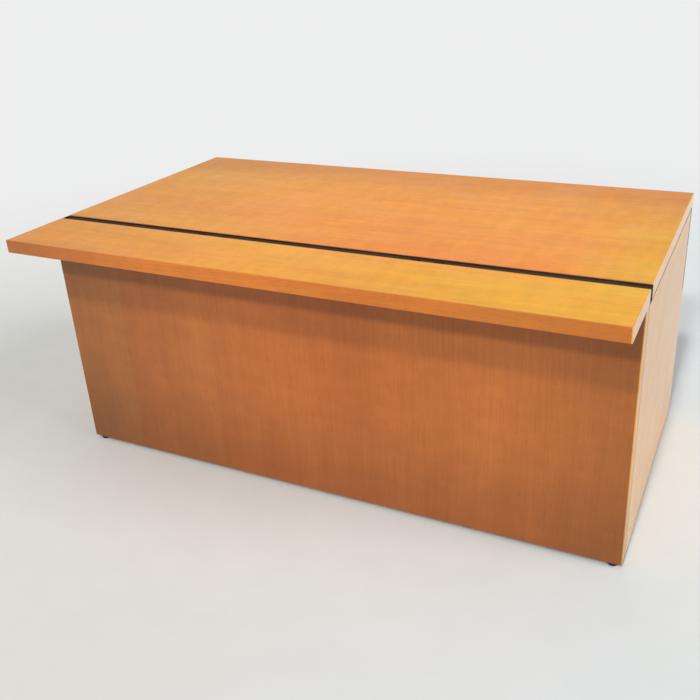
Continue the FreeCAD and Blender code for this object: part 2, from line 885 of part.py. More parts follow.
make_tops()
make_overhang_bars()
make_back_panel()
for hand in HANDS:
    make_pedestal(hand)
keep_group("top_screws", top_screws)
make_duct()
make_cable_tray()
make_drawers()
make_feet()
doc.recompute()
check_document()
write_nodes()
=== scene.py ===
# %% [markdown]
# # Dressing a double pedestal desk
# The desk is veneered board: two tops with a black cable slot between them, a full back panel,
# two drawer pedestals and a kneehole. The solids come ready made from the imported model. This
# lesson gives them their finishes, adds the small parts that a joiner fits last, and lights them.

# %% Load the solids
import math

import bpy
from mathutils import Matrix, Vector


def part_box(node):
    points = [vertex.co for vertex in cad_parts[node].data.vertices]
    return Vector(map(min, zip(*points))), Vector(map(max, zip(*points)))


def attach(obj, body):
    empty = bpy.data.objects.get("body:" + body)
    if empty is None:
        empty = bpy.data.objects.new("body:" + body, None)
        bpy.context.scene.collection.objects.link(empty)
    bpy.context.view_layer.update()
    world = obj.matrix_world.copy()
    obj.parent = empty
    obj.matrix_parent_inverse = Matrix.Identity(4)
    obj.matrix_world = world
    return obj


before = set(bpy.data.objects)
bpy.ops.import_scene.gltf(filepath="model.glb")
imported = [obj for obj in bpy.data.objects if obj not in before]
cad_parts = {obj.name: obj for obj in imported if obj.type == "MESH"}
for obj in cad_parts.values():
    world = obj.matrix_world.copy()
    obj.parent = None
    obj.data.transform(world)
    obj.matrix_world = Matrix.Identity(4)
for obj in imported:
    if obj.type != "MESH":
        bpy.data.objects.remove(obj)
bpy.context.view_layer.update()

scene = bpy.context.scene
scene.view_settings.view_transform = "Standard"

# %% [markdown]
# ## Camera
# The photograph was taken from the visitor's side, to the right of the desk and a little above
# it. A camera can be aimed by eye, but never quite lines up, so the place, turn and lens were
# solved from the desk's own straight edges. The desk is not in the middle of the picture, so the
# lens is shifted, as a view camera's would be.

# %% Camera
SENSOR_WIDTH = 36.0
LENS = 43.495
LENS_SHIFT = (-0.0398, -0.0369)
CAMERA_PLACE = (0.9987, -1.9548, 1.3736)
CAMERA_TURN = (65.573, 2.357, 25.094)

lens = bpy.data.cameras.new("camera")
lens.sensor_width = SENSOR_WIDTH
lens.lens = LENS
lens.shift_x, lens.shift_y = LENS_SHIFT
camera = bpy.data.objects.new("camera", lens)
camera.location = CAMERA_PLACE
camera.rotation_euler = [math.radians(angle) for angle in CAMERA_TURN]
scene.collection.objects.link(camera)
scene.camera = camera
print("camera at", CAMERA_PLACE)

# %% [markdown]
# ## Sky
# An even sky fills the shadows. A pale wall could stand behind the desk, but it would hide the
# desk from other sides, so the camera and the reflections see a pale backdrop in place of the sky.
# The Light Path node tells which rays those are.

# %% Sky and backdrop
SKY_COLOUR = (0.93, 0.95, 1.0, 1.0)
SKY_STRENGTH = 0.22
BACKDROP_COLOUR = (0.85, 0.85, 0.85, 1.0)

world = bpy.data.worlds.new("sky")
world.use_nodes = True
sky_nodes, sky_links = world.node_tree.nodes, world.node_tree.links
sky = sky_nodes["Background"]
sky.inputs["Color"].default_value = SKY_COLOUR
sky.inputs["Strength"].default_value = SKY_STRENGTH
backdrop = sky_nodes.new("ShaderNodeBackground")
backdrop.inputs["Color"].default_value = BACKDROP_COLOUR
path = sky_nodes.new("ShaderNodeLightPath").outputs
seen = path["Is Camera Ray"]
for mirrored in ("Is Glossy Ray", "Is Transmission Ray"):
    either = sky_nodes.new("ShaderNodeMath")
    either.operation = "MAXIMUM"
    sky_links.new(seen, either.inputs[0])
    sky_links.new(path[mirrored], either.inputs[1])
    seen = either.outputs[0]
shown = sky_nodes.new("ShaderNodeMixShader")
sky_links.new(seen, shown.inputs[0])
sky_links.new(sky.outputs[0], shown.inputs[1])
sky_links.new(backdrop.outputs[0], shown.inputs[2])
sky_links.new(shown.outputs[0], sky_nodes["World Output"].inputs["Surface"])
scene.world = world
print("sky of strength", SKY_STRENGTH)

# %% [markdown]
# ## Lamps
# A broad ceiling lamp lights the tops, a soft lamp stands on the right, and two lamps above the
# visitor's side hang at different heights. Their two steps of shadow fall on the back panel under
# the overhang. Area lamps would fade along a desk this long; sun lamps light all of it evenly.

# %% Lamps
LAMPS = {
    "ceiling_lamp": {"strength": 0.5, "elevation": 87.0, "turn": 0.0, "softness": 45.0},
    "high_lamp": {"strength": 1.08, "elevation": 49.5, "turn": 0.0, "softness": 4.5},
    "low_lamp": {"strength": 1.2, "elevation": 35.5, "turn": 0.0, "softness": 4.5},
    "side_lamp": {"strength": 1.45, "elevation": 30.0, "turn": 90.0, "softness": 30.0},
}

for name, spec in LAMPS.items():
    lamp_data = bpy.data.lights.new(name, "SUN")
    lamp_data.energy = spec["strength"]
    lamp_data.angle = math.radians(spec["softness"])
    lamp = bpy.data.objects.new(name, lamp_data)
    lamp.rotation_euler = (math.radians(90 - spec["elevation"]), 0, math.radians(spec["turn"]))
    scene.collection.objects.link(lamp)
print(len(LAMPS), "lamps")

# %% [markdown]
# ## Helpers for nodes
# Every finish is a small graph of nodes, which could be laid by hand in the shader editor. These
# helpers place a node, set what it needs and link it, so that each finish below reads as a recipe.
# An input gets either a value or the output of another node.

# %% Node helpers
NO_TURN = NO_MOVE = (0.0, 0.0, 0.0)


def put(tree, kind, inputs=None, **settings):
    """Place a node, set its properties and feed its inputs."""
    node = tree.nodes.new(kind)
    for name, value in settings.items():
        setattr(node, name, value)
    for key, value in (inputs or {}).items():
        if isinstance(value, bpy.types.NodeSocket):
            tree.links.new(value, node.inputs[key])
        else:
            node.inputs[key].default_value = value
    return node


def math_of(tree, operation, first, second=0.0, clamp=False):
    settings = {"operation": operation, "use_clamp": clamp}
    return put(tree, "ShaderNodeMath", {0: first, 1: second}, **settings).outputs[0]


def times(tree, first, second):
    return math_of(tree, "MULTIPLY", first, second)


def plus(tree, first, second, clamp=False):
    return math_of(tree, "ADD", first, second, clamp)


def span_of(tree, value, start, end, low=0.0, high=1.0):
    """Stretch a value from one span to another, smoothly."""
    inputs = {"Value": value, "From Min": start, "From Max": end, "To Min": low, "To Max": high}
    node = put(tree, "ShaderNodeMapRange", inputs, interpolation_type="SMOOTHSTEP")
    return node.outputs["Result"]


def blend_of(tree, factor, first, second, mode="MIX"):
    """Blend two colours."""
    settings = {"data_type": "RGBA", "blend_type": mode}
    return put(tree, "ShaderNodeMix", {0: factor, 6: first, 7: second}, **settings).outputs[2]


def tinted(tree, factor, colour, tint):
    """Multiply a colour by a tint, as far as a factor says."""
    return blend_of(tree, factor, colour, tint, "MULTIPLY")


print("node helpers ready")

# %% [markdown]
# ## Helpers for patterns
# A pattern is noise read at a place on the piece. Stretching that place first makes the noise
# long along the grain and short across it, and a Mapping node turns or moves it on the board.

# %% Pattern helpers
def vector_of(tree, operation, first, second):
    """Combine two vectors."""
    return put(tree, "ShaderNodeVectorMath", {0: first, 1: second}, operation=operation).outputs[0]


def scaled(tree, vector, factor):
    """Scale a vector or a colour evenly."""
    inputs = {0: vector, "Scale": factor}
    return put(tree, "ShaderNodeVectorMath", inputs, operation="SCALE").outputs[0]


def length_of(tree, vector):
    return put(tree, "ShaderNodeVectorMath", {0: vector}, operation="LENGTH").outputs["Value"]


def axes_of(tree, vector):
    return put(tree, "ShaderNodeSeparateXYZ", {0: vector}).outputs


def laid_out(tree, place, turn=NO_TURN, offset=NO_MOVE):
    """Turn and move a pattern on a piece."""
    inputs = {"Vector": place, "Rotation": turn, "Location": offset}
    return put(tree, "ShaderNodeMapping", inputs).outputs[0]


def noise_of(tree, vector, scale, detail=3.0, roughness=0.5):
    inputs = {"Vector": vector, "Scale": scale, "Detail": detail, "Roughness": roughness}
    return put(tree, "ShaderNodeTexNoise", inputs).outputs["Fac"]


def long_noise(tree, vector, factors, detail, roughness=0.5):
    """Noise with its own scale along each axis, so that it comes out long or short there."""
    return noise_of(tree, vector_of(tree, "MULTIPLY", vector, factors), 1.0, detail, roughness)


print("pattern helpers ready")

# %% [markdown]
# ## Helpers for groups and finishes
# An effect that several finishes share is a node group with named inputs and outputs. A finish is
# a material whose constant values are set on the shader itself and whose patterns are linked.

# %% Group and finish helpers
FLOAT, VECTOR = "NodeSocketFloat", "NodeSocketVector"


def new_group(name, inputs, outputs):
    """An empty node group, the outputs of its input node and the inputs of its output node."""
    group = bpy.data.node_groups.new(name, "ShaderNodeTree")
    for socket_name, kind, value in inputs:
        socket = group.interface.new_socket(socket_name, in_out="INPUT", socket_type=kind)
        socket.default_value = value
    for socket_name in outputs:
        group.interface.new_socket(socket_name, in_out="OUTPUT", socket_type=FLOAT)
    given = group.nodes.new("NodeGroupInput").outputs
    return group, given, group.nodes.new("NodeGroupOutput").inputs


def use_group(tree, name, inputs):
    """Place a group and feed it. Its outputs come back."""
    group = bpy.data.node_groups[name]
    return put(tree, "ShaderNodeGroup", inputs, node_tree=group).outputs


def new_finish(name, **constants):
    """A material with constants set on its shader, and the vector of the object's own place."""
    material = bpy.data.materials.new(name)
    material.use_nodes = True
    tree = material.node_tree
    shader = tree.nodes["Principled BSDF"]
    for socket, value in constants.items():
        shader.inputs[socket.replace("_", " ")].default_value = value
    place = tree.nodes.new("ShaderNodeTexCoord").outputs["Object"]
    return material, tree, shader, place


def roughen(tree, shader, height, strength, distance):
    """Feed a height to the shader's normal."""
    inputs = {"Height": height, "Strength": strength, "Distance": distance}
    bump = put(tree, "ShaderNodeBump", inputs)
    tree.links.new(bump.outputs["Normal"], shader.inputs["Normal"])


print("group and finish helpers ready")

# %% [markdown]
# ## Wood figure
# The veneer is a fine, even hardwood laid in leaves about a hand wide. Along the grain run soft
# broad bands, hair-fine streaks and short open pores; across it there is a faint ripple. All of
# them are noise stretched along the grain. A picture of veneer would repeat on boards this long,
# but noise never does, so one group with the grain along X serves every veneered board, turned by
# a Mapping node where the grain stands upright. The triples below say how fine each pattern is
# along X, Y and Z, and how far the drift bends the others.

# %% Wood figure group
LEAF_WIDTH = 0.148
DRIFT, DRIFT_REACH = (1.1, 4.0, 4.0), (0.0, 0.045, 0.045)
BROAD, BROAD_SHARE = (1.3, 16.0, 16.0), 0.55
PATCH, PATCH_SHARE = (1.6, 3.2, 3.2), 0.45
TONE_SPAN = (0.33, 0.67)
STREAK, STREAK_SPAN = (5.0, 190.0, 190.0), (0.35, 0.7)
PORE, PORE_SPAN = (42.0, 1100.0, 1100.0), (0.62, 0.72)
RIPPLE = (26.0, 11.0, 11.0)


def make_wood_figure():
    group, given, wanted = new_group(
        "wood_figure", [("Vector", VECTOR, (0, 0, 0)), ("Fineness", FLOAT, 1.0)],
        ("Tone", "Leaf", "Streak", "Pore", "Ripple"))
    place = scaled(group, given["Vector"], given["Fineness"])
    drift_place = vector_of(group, "MULTIPLY", place, DRIFT)
    drift = put(group, "ShaderNodeTexNoise",
                {"Vector": drift_place, "Scale": 1.0, "Detail": 1.0}).outputs["Color"]
    lean = put(group, "ShaderNodeVectorMath", {0: drift, 1: DRIFT_REACH, 2: place},
               operation="MULTIPLY_ADD").outputs[0]
    broad = times(group, long_noise(group, lean, BROAD, detail=5.0, roughness=0.6), BROAD_SHARE)
    patch = times(group, long_noise(group, lean, PATCH, detail=2.0), PATCH_SHARE)
    streak = long_noise(group, lean, STREAK, detail=4.0, roughness=0.65)
    pore = long_noise(group, lean, PORE, detail=2.0)
    axes = axes_of(group, place)
    across = plus(group, axes["Y"], axes["Z"])
    leaf_number = math_of(group, "FLOOR", math_of(group, "DIVIDE", across, LEAF_WIDTH))
    leaf = put(group, "ShaderNodeTexWhiteNoise", {"W": leaf_number}, noise_dimensions="1D")
    figure = {
        "Tone": span_of(group, plus(group, broad, patch), *TONE_SPAN),
        "Leaf": leaf.outputs["Value"],
        "Streak": span_of(group, streak, *STREAK_SPAN),
        "Pore": span_of(group, pore, *PORE_SPAN),
        "Ripple": long_noise(group, lean, RIPPLE, detail=3.0),
    }
    for name, value in figure.items():
        group.links.new(value, wanted[name])
    return group


print("group", make_wood_figure().name)

# %% [markdown]
# ## Worn edges
# A sharp corner is where a finish goes first: lacquer rubs pale, black coating shows grey. The
# Bevel node gives the normal that a rounded corner would have. Where it leans away from the true
# normal there is an edge, and a noise breaks the line up, because wear is never even. Wear could
# be painted too, but a group finds the edges of any piece.

# %% Worn edge group
EDGE_SPAN = (0.995, 0.86)
WEAR_SCALE, WEAR_SPAN = 55.0, (0.42, 0.62)


def make_worn_edge():
    group, given, wanted = new_group(
        "worn_edge",
        [("Vector", VECTOR, (0, 0, 0)), ("Width", FLOAT, 0.002), ("Amount", FLOAT, 0.5)],
        ("Wear",))
    rounded = put(group, "ShaderNodeBevel", {"Radius": given["Width"]}, samples=4).outputs["Normal"]
    true_normal = put(group, "ShaderNodeNewGeometry").outputs["Normal"]
    likeness = put(group, "ShaderNodeVectorMath", {0: rounded, 1: true_normal},
                   operation="DOT_PRODUCT").outputs["Value"]
    edge = span_of(group, likeness, *EDGE_SPAN)
    uneven = noise_of(group, given["Vector"], WEAR_SCALE, detail=4.0, roughness=0.6)
    wear = times(group, edge, span_of(group, uneven, *WEAR_SPAN))
    group.links.new(times(group, wear, given["Amount"]), wanted["Wear"])
    return group


def wear_of(tree, place, width, amount):
    """Where edges of a width are worn, up to an amount."""
    return use_group(tree, "worn_edge", {"Vector": place, "Width": width, "Amount": amount})["Wear"]


print("group", make_worn_edge().name)

# %% [markdown]
# ## Handling marks
# Nothing that is used stays evenly shiny. Hands leave faint smears and cleaning leaves hairlines.
# On wood both change only the roughness, so they show where light glances off and vanish
# elsewhere. On dark coatings the smears are also a little dusty.

# %% Handling marks group
SMEAR_SCALE, SMEAR_SPAN = 7.0, (0.38, 0.66)
HAIRLINE, HAIRLINE_SPAN = (18.0, 900.0, 900.0), (0.64, 0.7)
HAIRLINE_TURN = (0.2, 0.3, 0.5)


def make_handling_marks():
    group, given, wanted = new_group(
        "handling_marks", [("Vector", VECTOR, (0, 0, 0))], ("Smear", "Hairline"))
    smear = noise_of(group, given["Vector"], SMEAR_SCALE, detail=4.0, roughness=0.62)
    turned = laid_out(group, given["Vector"], HAIRLINE_TURN)
    hairline = long_noise(group, turned, HAIRLINE, detail=2.0)
    group.links.new(span_of(group, smear, *SMEAR_SPAN), wanted["Smear"])
    group.links.new(span_of(group, hairline, *HAIRLINE_SPAN), wanted["Hairline"])
    return group


print("group", make_handling_marks().name)

# %% [markdown]
# ## Lipped edges
# Each top is edged with a strip of solid wood a few millimetres thick. From above it shows as a
# fine joint line just inside the edge, and the strip itself takes the light a little differently.
# Both follow from how far a point is from the sides of the board, so no extra mesh is needed.

# %% Lipping group
LIPPING_WIDTH = 0.0026
LIPPING_JOINT = 0.0005
LIPPING_SPAN = (LIPPING_WIDTH + LIPPING_JOINT, LIPPING_WIDTH)


def make_lipping():
    group, given, wanted = new_group(
        "lipping", [(name, VECTOR, (0, 0, 0)) for name in ("Vector", "Low", "High")],
        ("Strip", "End", "Joint"))
    from_low = vector_of(group, "SUBTRACT", given["Vector"], given["Low"])
    from_high = vector_of(group, "SUBTRACT", given["High"], given["Vector"])
    axes = axes_of(group, vector_of(group, "MINIMUM", from_low, from_high))
    depth = math_of(group, "MINIMUM", axes["X"], axes["Y"])
    off_joint = math_of(group, "ABSOLUTE", math_of(group, "SUBTRACT", depth, LIPPING_WIDTH))
    group.links.new(span_of(group, depth, *LIPPING_SPAN), wanted["Strip"])
    group.links.new(span_of(group, axes["X"], *LIPPING_SPAN), wanted["End"])
    group.links.new(span_of(group, off_joint, LIPPING_JOINT, 0.0), wanted["Joint"])
    return group


print("group", make_lipping().name)

# %% [markdown]
# ## Veneer
# The same recipe makes the tops, the upright boards and the drawer fronts: three tones of the
# wood blended by its figure, leaves that differ a little in warmth, streaks and pores laid over
# them, a satin lacquer, and pale rubbed edges. What differs is the way the grain runs and the
# tone, so the recipe leaves its colour open for each board to change.

# %% Veneer recipe
UPRIGHT_GRAIN = (0.0, math.radians(90), 0.0)
RIPPLE_LIFT = (0.35, 0.65, 0.965, 1.035)
STREAK_SHARE, STREAK_SHADE = 0.2, 0.55
PORE_SHARE, PORE_SHADE = 0.42, 0.3
RUBBED_WIDTH, RUBBED_AMOUNT, RUBBED_SHADE = 0.0022, 0.35, 1.35
SMEAR_ROUGHNESS, HAIRLINE_ROUGHNESS, PORE_ROUGHNESS = 0.09, 0.12, 0.2
STREAK_HEIGHT = -0.3
GRAIN_STRENGTH, GRAIN_DEPTH = 0.25, 0.0002


def shade_of(colour, factor):
    """A colour made darker or lighter."""
    return tuple(min(1.0, channel * factor) for channel in colour[:3]) + (1.0,)


def make_veneer(name, tones, turn=NO_TURN, offset=NO_MOVE, leaf_share=0.3, coat=0.25, gloss=0.4):
    """Satin lacquered veneer from a deep, a middle and a warm tone. Its colour isn't linked yet."""
    deep, middle, warm = tones
    material, tree, shader, place = new_finish(
        name, IOR=1.42, Specular_IOR_Level=0.4, Coat_Weight=coat, Coat_Roughness=0.1, Coat_IOR=1.5)
    figure = use_group(tree, "wood_figure", {"Vector": laid_out(tree, place, turn, offset)})
    marks = use_group(tree, "handling_marks", {"Vector": place})
    wear = wear_of(tree, place, RUBBED_WIDTH, RUBBED_AMOUNT)
    colour = blend_of(tree, figure["Tone"], deep, middle)
    colour = blend_of(tree, times(tree, figure["Leaf"], leaf_share), colour, warm)
    colour = scaled(tree, colour, span_of(tree, figure["Ripple"], *RIPPLE_LIFT))
    streak = times(tree, figure["Streak"], STREAK_SHARE)
    colour = blend_of(tree, streak, colour, shade_of(deep, STREAK_SHADE))
    pore = times(tree, figure["Pore"], PORE_SHARE)
    colour = blend_of(tree, pore, colour, shade_of(deep, PORE_SHADE))
    colour = blend_of(tree, wear, colour, shade_of(middle, RUBBED_SHADE))
    rough = plus(tree, gloss, times(tree, marks["Smear"], SMEAR_ROUGHNESS))
    rough = plus(tree, rough, times(tree, marks["Hairline"], HAIRLINE_ROUGHNESS))
    rough = plus(tree, rough, times(tree, figure["Pore"], PORE_ROUGHNESS), clamp=True)
    tree.links.new(rough, shader.inputs["Roughness"])
    streak_height = times(tree, figure["Streak"], STREAK_HEIGHT)
    height = math_of(tree, "SUBTRACT", streak_height, figure["Pore"])
    roughen(tree, shader, height, GRAIN_STRENGTH, GRAIN_DEPTH)
    return material, tree, shader, place, colour


def finish_veneer(material, tree, shader, place, colour):
    """Link the colour that a veneer ends up with."""
    tree.links.new(colour, shader.inputs["Base Color"])
    return material


print("veneer recipe ready")

# %% [markdown]
# ## Lipping over veneer
# The lipping group says where the strips and their joints are. Here they are laid over a veneer:
# the strip is the board's wood under a tint, and the joint is a dark line. The right end can get a
# pale painted highlight, with its own share of lacquer. A second material on the edge faces would
# do too, but it couldn't show the strip from above.

# %% Lipping over veneer
STRIP_SHARE = 0.85
JOINT_SHARE, JOINT_COLOUR = 0.55, (0.16, 0.07, 0.025, 1.0)
LIPPING_TINT = (0.775, 0.60, 0.68, 1.0)
OUT_OF_REACH = 1.0


def add_lipping(made, wood, low, high, strip_tint, end_highlight_tint=None, coat=None, end_coat=None):
    """Lay lipped edges, made of a wood, over the colour of a veneer."""
    material, tree, shader, place, colour = made
    corners = {"Low": tuple(low), "High": tuple(high)}
    lipping = use_group(tree, "lipping", {"Vector": place, **corners})
    strip = times(tree, lipping["Strip"], STRIP_SHARE)
    colour = blend_of(tree, strip, colour, tinted(tree, 1.0, wood, strip_tint))
    # A pale painted highlight on the right end.
    if end_highlight_tint:
        on_right = math_of(tree, "GREATER_THAN", axes_of(tree, place)["X"], 0.0)
        end = times(tree, lipping["End"], on_right)
        colour = blend_of(tree, end, colour, tinted(tree, 1.0, wood, end_highlight_tint))
        lacquer = plus(tree, times(tree, end, end_coat - coat), coat)
        tree.links.new(lacquer, shader.inputs["Coat Weight"])
    joint = times(tree, lipping["Joint"], JOINT_SHARE)
    return material, tree, shader, place, blend_of(tree, joint, colour, JOINT_COLOUR)


print("lipping ready")

# %% [markdown]
# ## Tops
# Both tops are one wood with the grain along X, under tints: golden at the right end and redder
# beside the slot, with painted shade at the left end, along the user's edge and towards the right
# end. Each tint's strength follows the place on the board, which needs no painted image. The strips
# of lipping have painted shade towards both ends and a pale painted highlight on the right end, and
# the underside is a plain backing.

# %% Tops
TOP_TONES = ((0.77, 0.248, 0.035, 1.0), (0.86, 0.318, 0.043, 1.0), (0.84, 0.40, 0.037, 1.0))
TOP_GLOSS = 0.46
TOP_COAT, TOP_END_COAT = 0.05, 0.85
# A pale painted highlight on the right end faces of the tops.
TOP_END_HIGHLIGHT_TINT = (1.3, 1.86, 2.1, 1.0)
GOLDEN_TINT, GOLDEN_SPAN = (1.02, 1.42, 0.70, 1.0), (0.45, 0.0)
# Painted shade: darker at the left end, along the user's edge and towards the right end.
PAINTED_LEFT_SHADE_TINT = (0.81, 0.90, 1.0, 1.0)
PAINTED_SHADE_TINT, PAINTED_SHADE_FROM = (0.80, 0.77, 0.92, 1.0), 0.15
PAINTED_END_SHADE_SHARE, PAINTED_END_SHADE_FROM = 0.4, 0.55
WARM_TINT, WARM_RISE, WARM_FALL = (0.99, 0.81, 0.97, 1.0), (-0.4, 0.3), (0.76, 0.56)
# Painted shade on the lipping wood towards both ends.
PAINTED_LEFT_EDGE_SHADE_TINT, PAINTED_LEFT_EDGE_SHADE_FROM = (0.62, 0.70, 1.0, 1.0), -0.3
SHADED_EDGE_TINT, SHADED_EDGE_FROM = (0.80, 0.74, 0.86, 1.0), 0.1
BACKING = (0.30, 0.17, 0.085, 1.0)
BACKING_TOP, BACKING_FADE = 0.0009, 0.0002


def make_top_veneer(node_name, offset, golden_from, golden_share, painted_shade_share, warm_reach):
    """Veneer along X. The warm reach goes from the slot into the board along Y."""
    low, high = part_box(node_name)
    material, tree, shader, place, wood = make_veneer(
        "veneer_" + node_name, TOP_TONES, offset=offset, coat=TOP_COAT, gloss=TOP_GLOSS)
    axes = axes_of(tree, place)
    golden = span_of(tree, axes["X"], golden_from, high.x, 0.0, golden_share)
    golden = times(tree, golden, span_of(tree, axes["Y"], *GOLDEN_SPAN))
    # Painted shade: darker towards the left end, along the user's edge and towards the right end.
    painted_left_shade = span_of(tree, axes["X"], 0.0, low.x)
    painted_end_shade = painted_shade_share * PAINTED_END_SHADE_SHARE
    painted_shade = plus(tree, span_of(tree, axes["Y"], PAINTED_SHADE_FROM, high.y, 0.0, painted_shade_share),
                  span_of(tree, axes["X"], PAINTED_END_SHADE_FROM, high.x, 0.0, painted_end_shade), clamp=True)
    slot_y = low.y if warm_reach > 0 else high.y
    warm = span_of(tree, axes["Y"], slot_y + warm_reach, slot_y)
    for span in (WARM_RISE, WARM_FALL):
        warm = times(tree, warm, span_of(tree, axes["X"], *span))
    colour = wood
    for factor, tint in ((golden, GOLDEN_TINT), (painted_left_shade, PAINTED_LEFT_SHADE_TINT), (painted_shade, PAINTED_SHADE_TINT),
                         (warm, WARM_TINT)):
        colour = tinted(tree, factor, colour, tint)
    # Painted shade on the lipping wood towards both ends.
    painted_left_edge_shade = span_of(tree, axes["X"], PAINTED_LEFT_EDGE_SHADE_FROM, low.x)
    wood = tinted(tree, painted_left_edge_shade, wood, PAINTED_LEFT_EDGE_SHADE_TINT)
    shaded_edge = span_of(tree, axes["X"], SHADED_EDGE_FROM, high.x)
    wood = tinted(tree, shaded_edge, wood, SHADED_EDGE_TINT)
    *made, colour = add_lipping((material, tree, shader, place, colour), wood, low, high,
                                LIPPING_TINT, TOP_END_HIGHLIGHT_TINT, TOP_COAT, TOP_END_COAT)
    underside = span_of(tree, axes["Z"], low.z + BACKING_TOP, low.z + BACKING_FADE)
    return finish_veneer(*made, blend_of(tree, underside, colour, BACKING))


main_top_finish = make_top_veneer(
    "main_top", NO_MOVE, golden_from=0.54, golden_share=0.75, painted_shade_share=1.0, warm_reach=0.25)
rear_top_finish = make_top_veneer(
    "rear_top", (3.1, 0.4, 0.0), golden_from=-0.8, golden_share=1.0, painted_shade_share=0.0,
    warm_reach=-0.10)
print("tops:", main_top_finish.name, rear_top_finish.name)

# %% [markdown]
# ## Back panel
# The panel's grain stands upright. Painted shade darkens it at its foot, towards its ends and at
# the left as on the tops, and its right end has a pale painted highlight. Only its two ends are
# lipped, so the lipping is told that the panel's front and rear are out of reach.

# %% Back panel
PANEL_TONES = (
    (0.466, 0.1235, 0.0235, 1.0), (0.542, 0.152, 0.031, 1.0), (0.532, 0.185, 0.033, 1.0))
PANEL_COAT, PANEL_END_COAT = 0.2, 0.5
PANEL_STRIP_TINT = (1.6, 1.75, 1.2, 1.0)
# A pale painted highlight on the panel's right end.
PANEL_END_HIGHLIGHT_TINT = (1.9, 3.0, 3.0, 1.0)
# Painted shade at the foot and towards both ends.
FOOT_HEIGHT, FOOT_SHADE = 0.35, 0.69
ENDS_FROM, ENDS_SHADE = 0.5, 0.78
UPRIGHT_LEAF_SHARE = 0.4


def make_panel_veneer():
    low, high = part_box("back_panel")
    material, tree, shader, place, wood = make_veneer(
        "veneer_panel", PANEL_TONES, UPRIGHT_GRAIN, leaf_share=UPRIGHT_LEAF_SHARE, coat=PANEL_COAT)
    axes = axes_of(tree, place)
    # Painted shade: darker at the foot, towards both ends and at the left end.
    foot = span_of(tree, axes["Z"], low.z, FOOT_HEIGHT, FOOT_SHADE, 1.0)
    off_middle = math_of(tree, "ABSOLUTE", axes["X"])
    ends = span_of(tree, off_middle, ENDS_FROM, high.x, 1.0, ENDS_SHADE)
    wood = scaled(tree, wood, times(tree, foot, ends))
    wood = tinted(tree, span_of(tree, axes["X"], 0.0, low.x), wood, PAINTED_LEFT_SHADE_TINT)
    low.y, high.y = low.y - OUT_OF_REACH, high.y + OUT_OF_REACH
    return finish_veneer(*add_lipping(
        (material, tree, shader, place, wood), wood, low, high,
        PANEL_STRIP_TINT, PANEL_END_HIGHLIGHT_TINT, PANEL_COAT, PANEL_END_COAT))


panel_finish = make_panel_veneer()
print("back panel:", panel_finish.name)

# %% [markdown]
# ## Sides, fronts and bases
# The right side has the gold of the tops' right end under a thick lacquer, which mirrors the
# floor where it is seen along the board. The other boards share one plainer tone. One material
# could serve them all, but the figure would then run on from board to board, as if they were cut
# from one block, so each kind of board has its own offset. The outer sides are lipped only down
# the edge at the user's end.

# %% Sides, fronts and bases
RIGHT_SIDE_TONES = ((0.73, 0.31, 0.054, 1.0), (0.82, 0.385, 0.072, 1.0), (0.80, 0.42, 0.068, 1.0))
FRONT_TONES = ((0.66, 0.205, 0.036, 1.0), (0.76, 0.268, 0.046, 1.0), (0.74, 0.32, 0.044, 1.0))
RIGHT_SIDE_COAT = 0.62
FRONT_COAT = 0.4


def make_side_veneer(node_name, tones, offset, coat):
    low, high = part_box(node_name)
    made = make_veneer(
        "veneer_" + node_name, tones, UPRIGHT_GRAIN, offset, UPRIGHT_LEAF_SHARE, coat)
    low.x, high.x = low.x - OUT_OF_REACH, high.x + OUT_OF_REACH
    low.y = low.y - OUT_OF_REACH
    return finish_veneer(*add_lipping(made, made[-1], low, high, LIPPING_TINT))


right_side_finish = make_side_veneer(
    "right_outer_side", RIGHT_SIDE_TONES, NO_MOVE, RIGHT_SIDE_COAT)
left_side_finish = make_side_veneer("left_outer_side", FRONT_TONES, (0.2, 0.7, 0.0), FRONT_COAT)
inner_finish = finish_veneer(*make_veneer(
    "veneer_inner", FRONT_TONES, UPRIGHT_GRAIN, (0.4, 1.1, 0.0), UPRIGHT_LEAF_SHARE))
front_finish = finish_veneer(*make_veneer(
    "veneer_front", FRONT_TONES, UPRIGHT_GRAIN, (0.0, 0.3, 1.7), UPRIGHT_LEAF_SHARE, FRONT_COAT))
base_finish = finish_veneer(*make_veneer("veneer_rail", FRONT_TONES, offset=(0.7, 0.2, 0.0)))
print("uprights:", right_side_finish.name, left_side_finish.name, inner_finish.name)
print("fronts and bases:", front_finish.name, base_finish.name)

# %% [markdown]
# ## Boards inside
# Inside the pedestals nobody pays for veneer: the carcass boards carry a pale printed paper, and
# the drawer boxes are pale solid wood. Both reuse the wood figure, paler and quieter.

# %% Inside boards
ALONG_DEPTH = (0.0, 0.0, math.radians(-90))
PLAIN_STREAK_SHARE, PLAIN_PORE_SHARE = 0.22, 0.3
PLAIN_WEAR_WIDTH, PLAIN_WEAR_AMOUNT = 0.0015, 0.5
PLAIN_STREAK_ROUGHNESS = 0.12
PLAIN_STRENGTH, PLAIN_DEPTH = 0.12, 0.0002


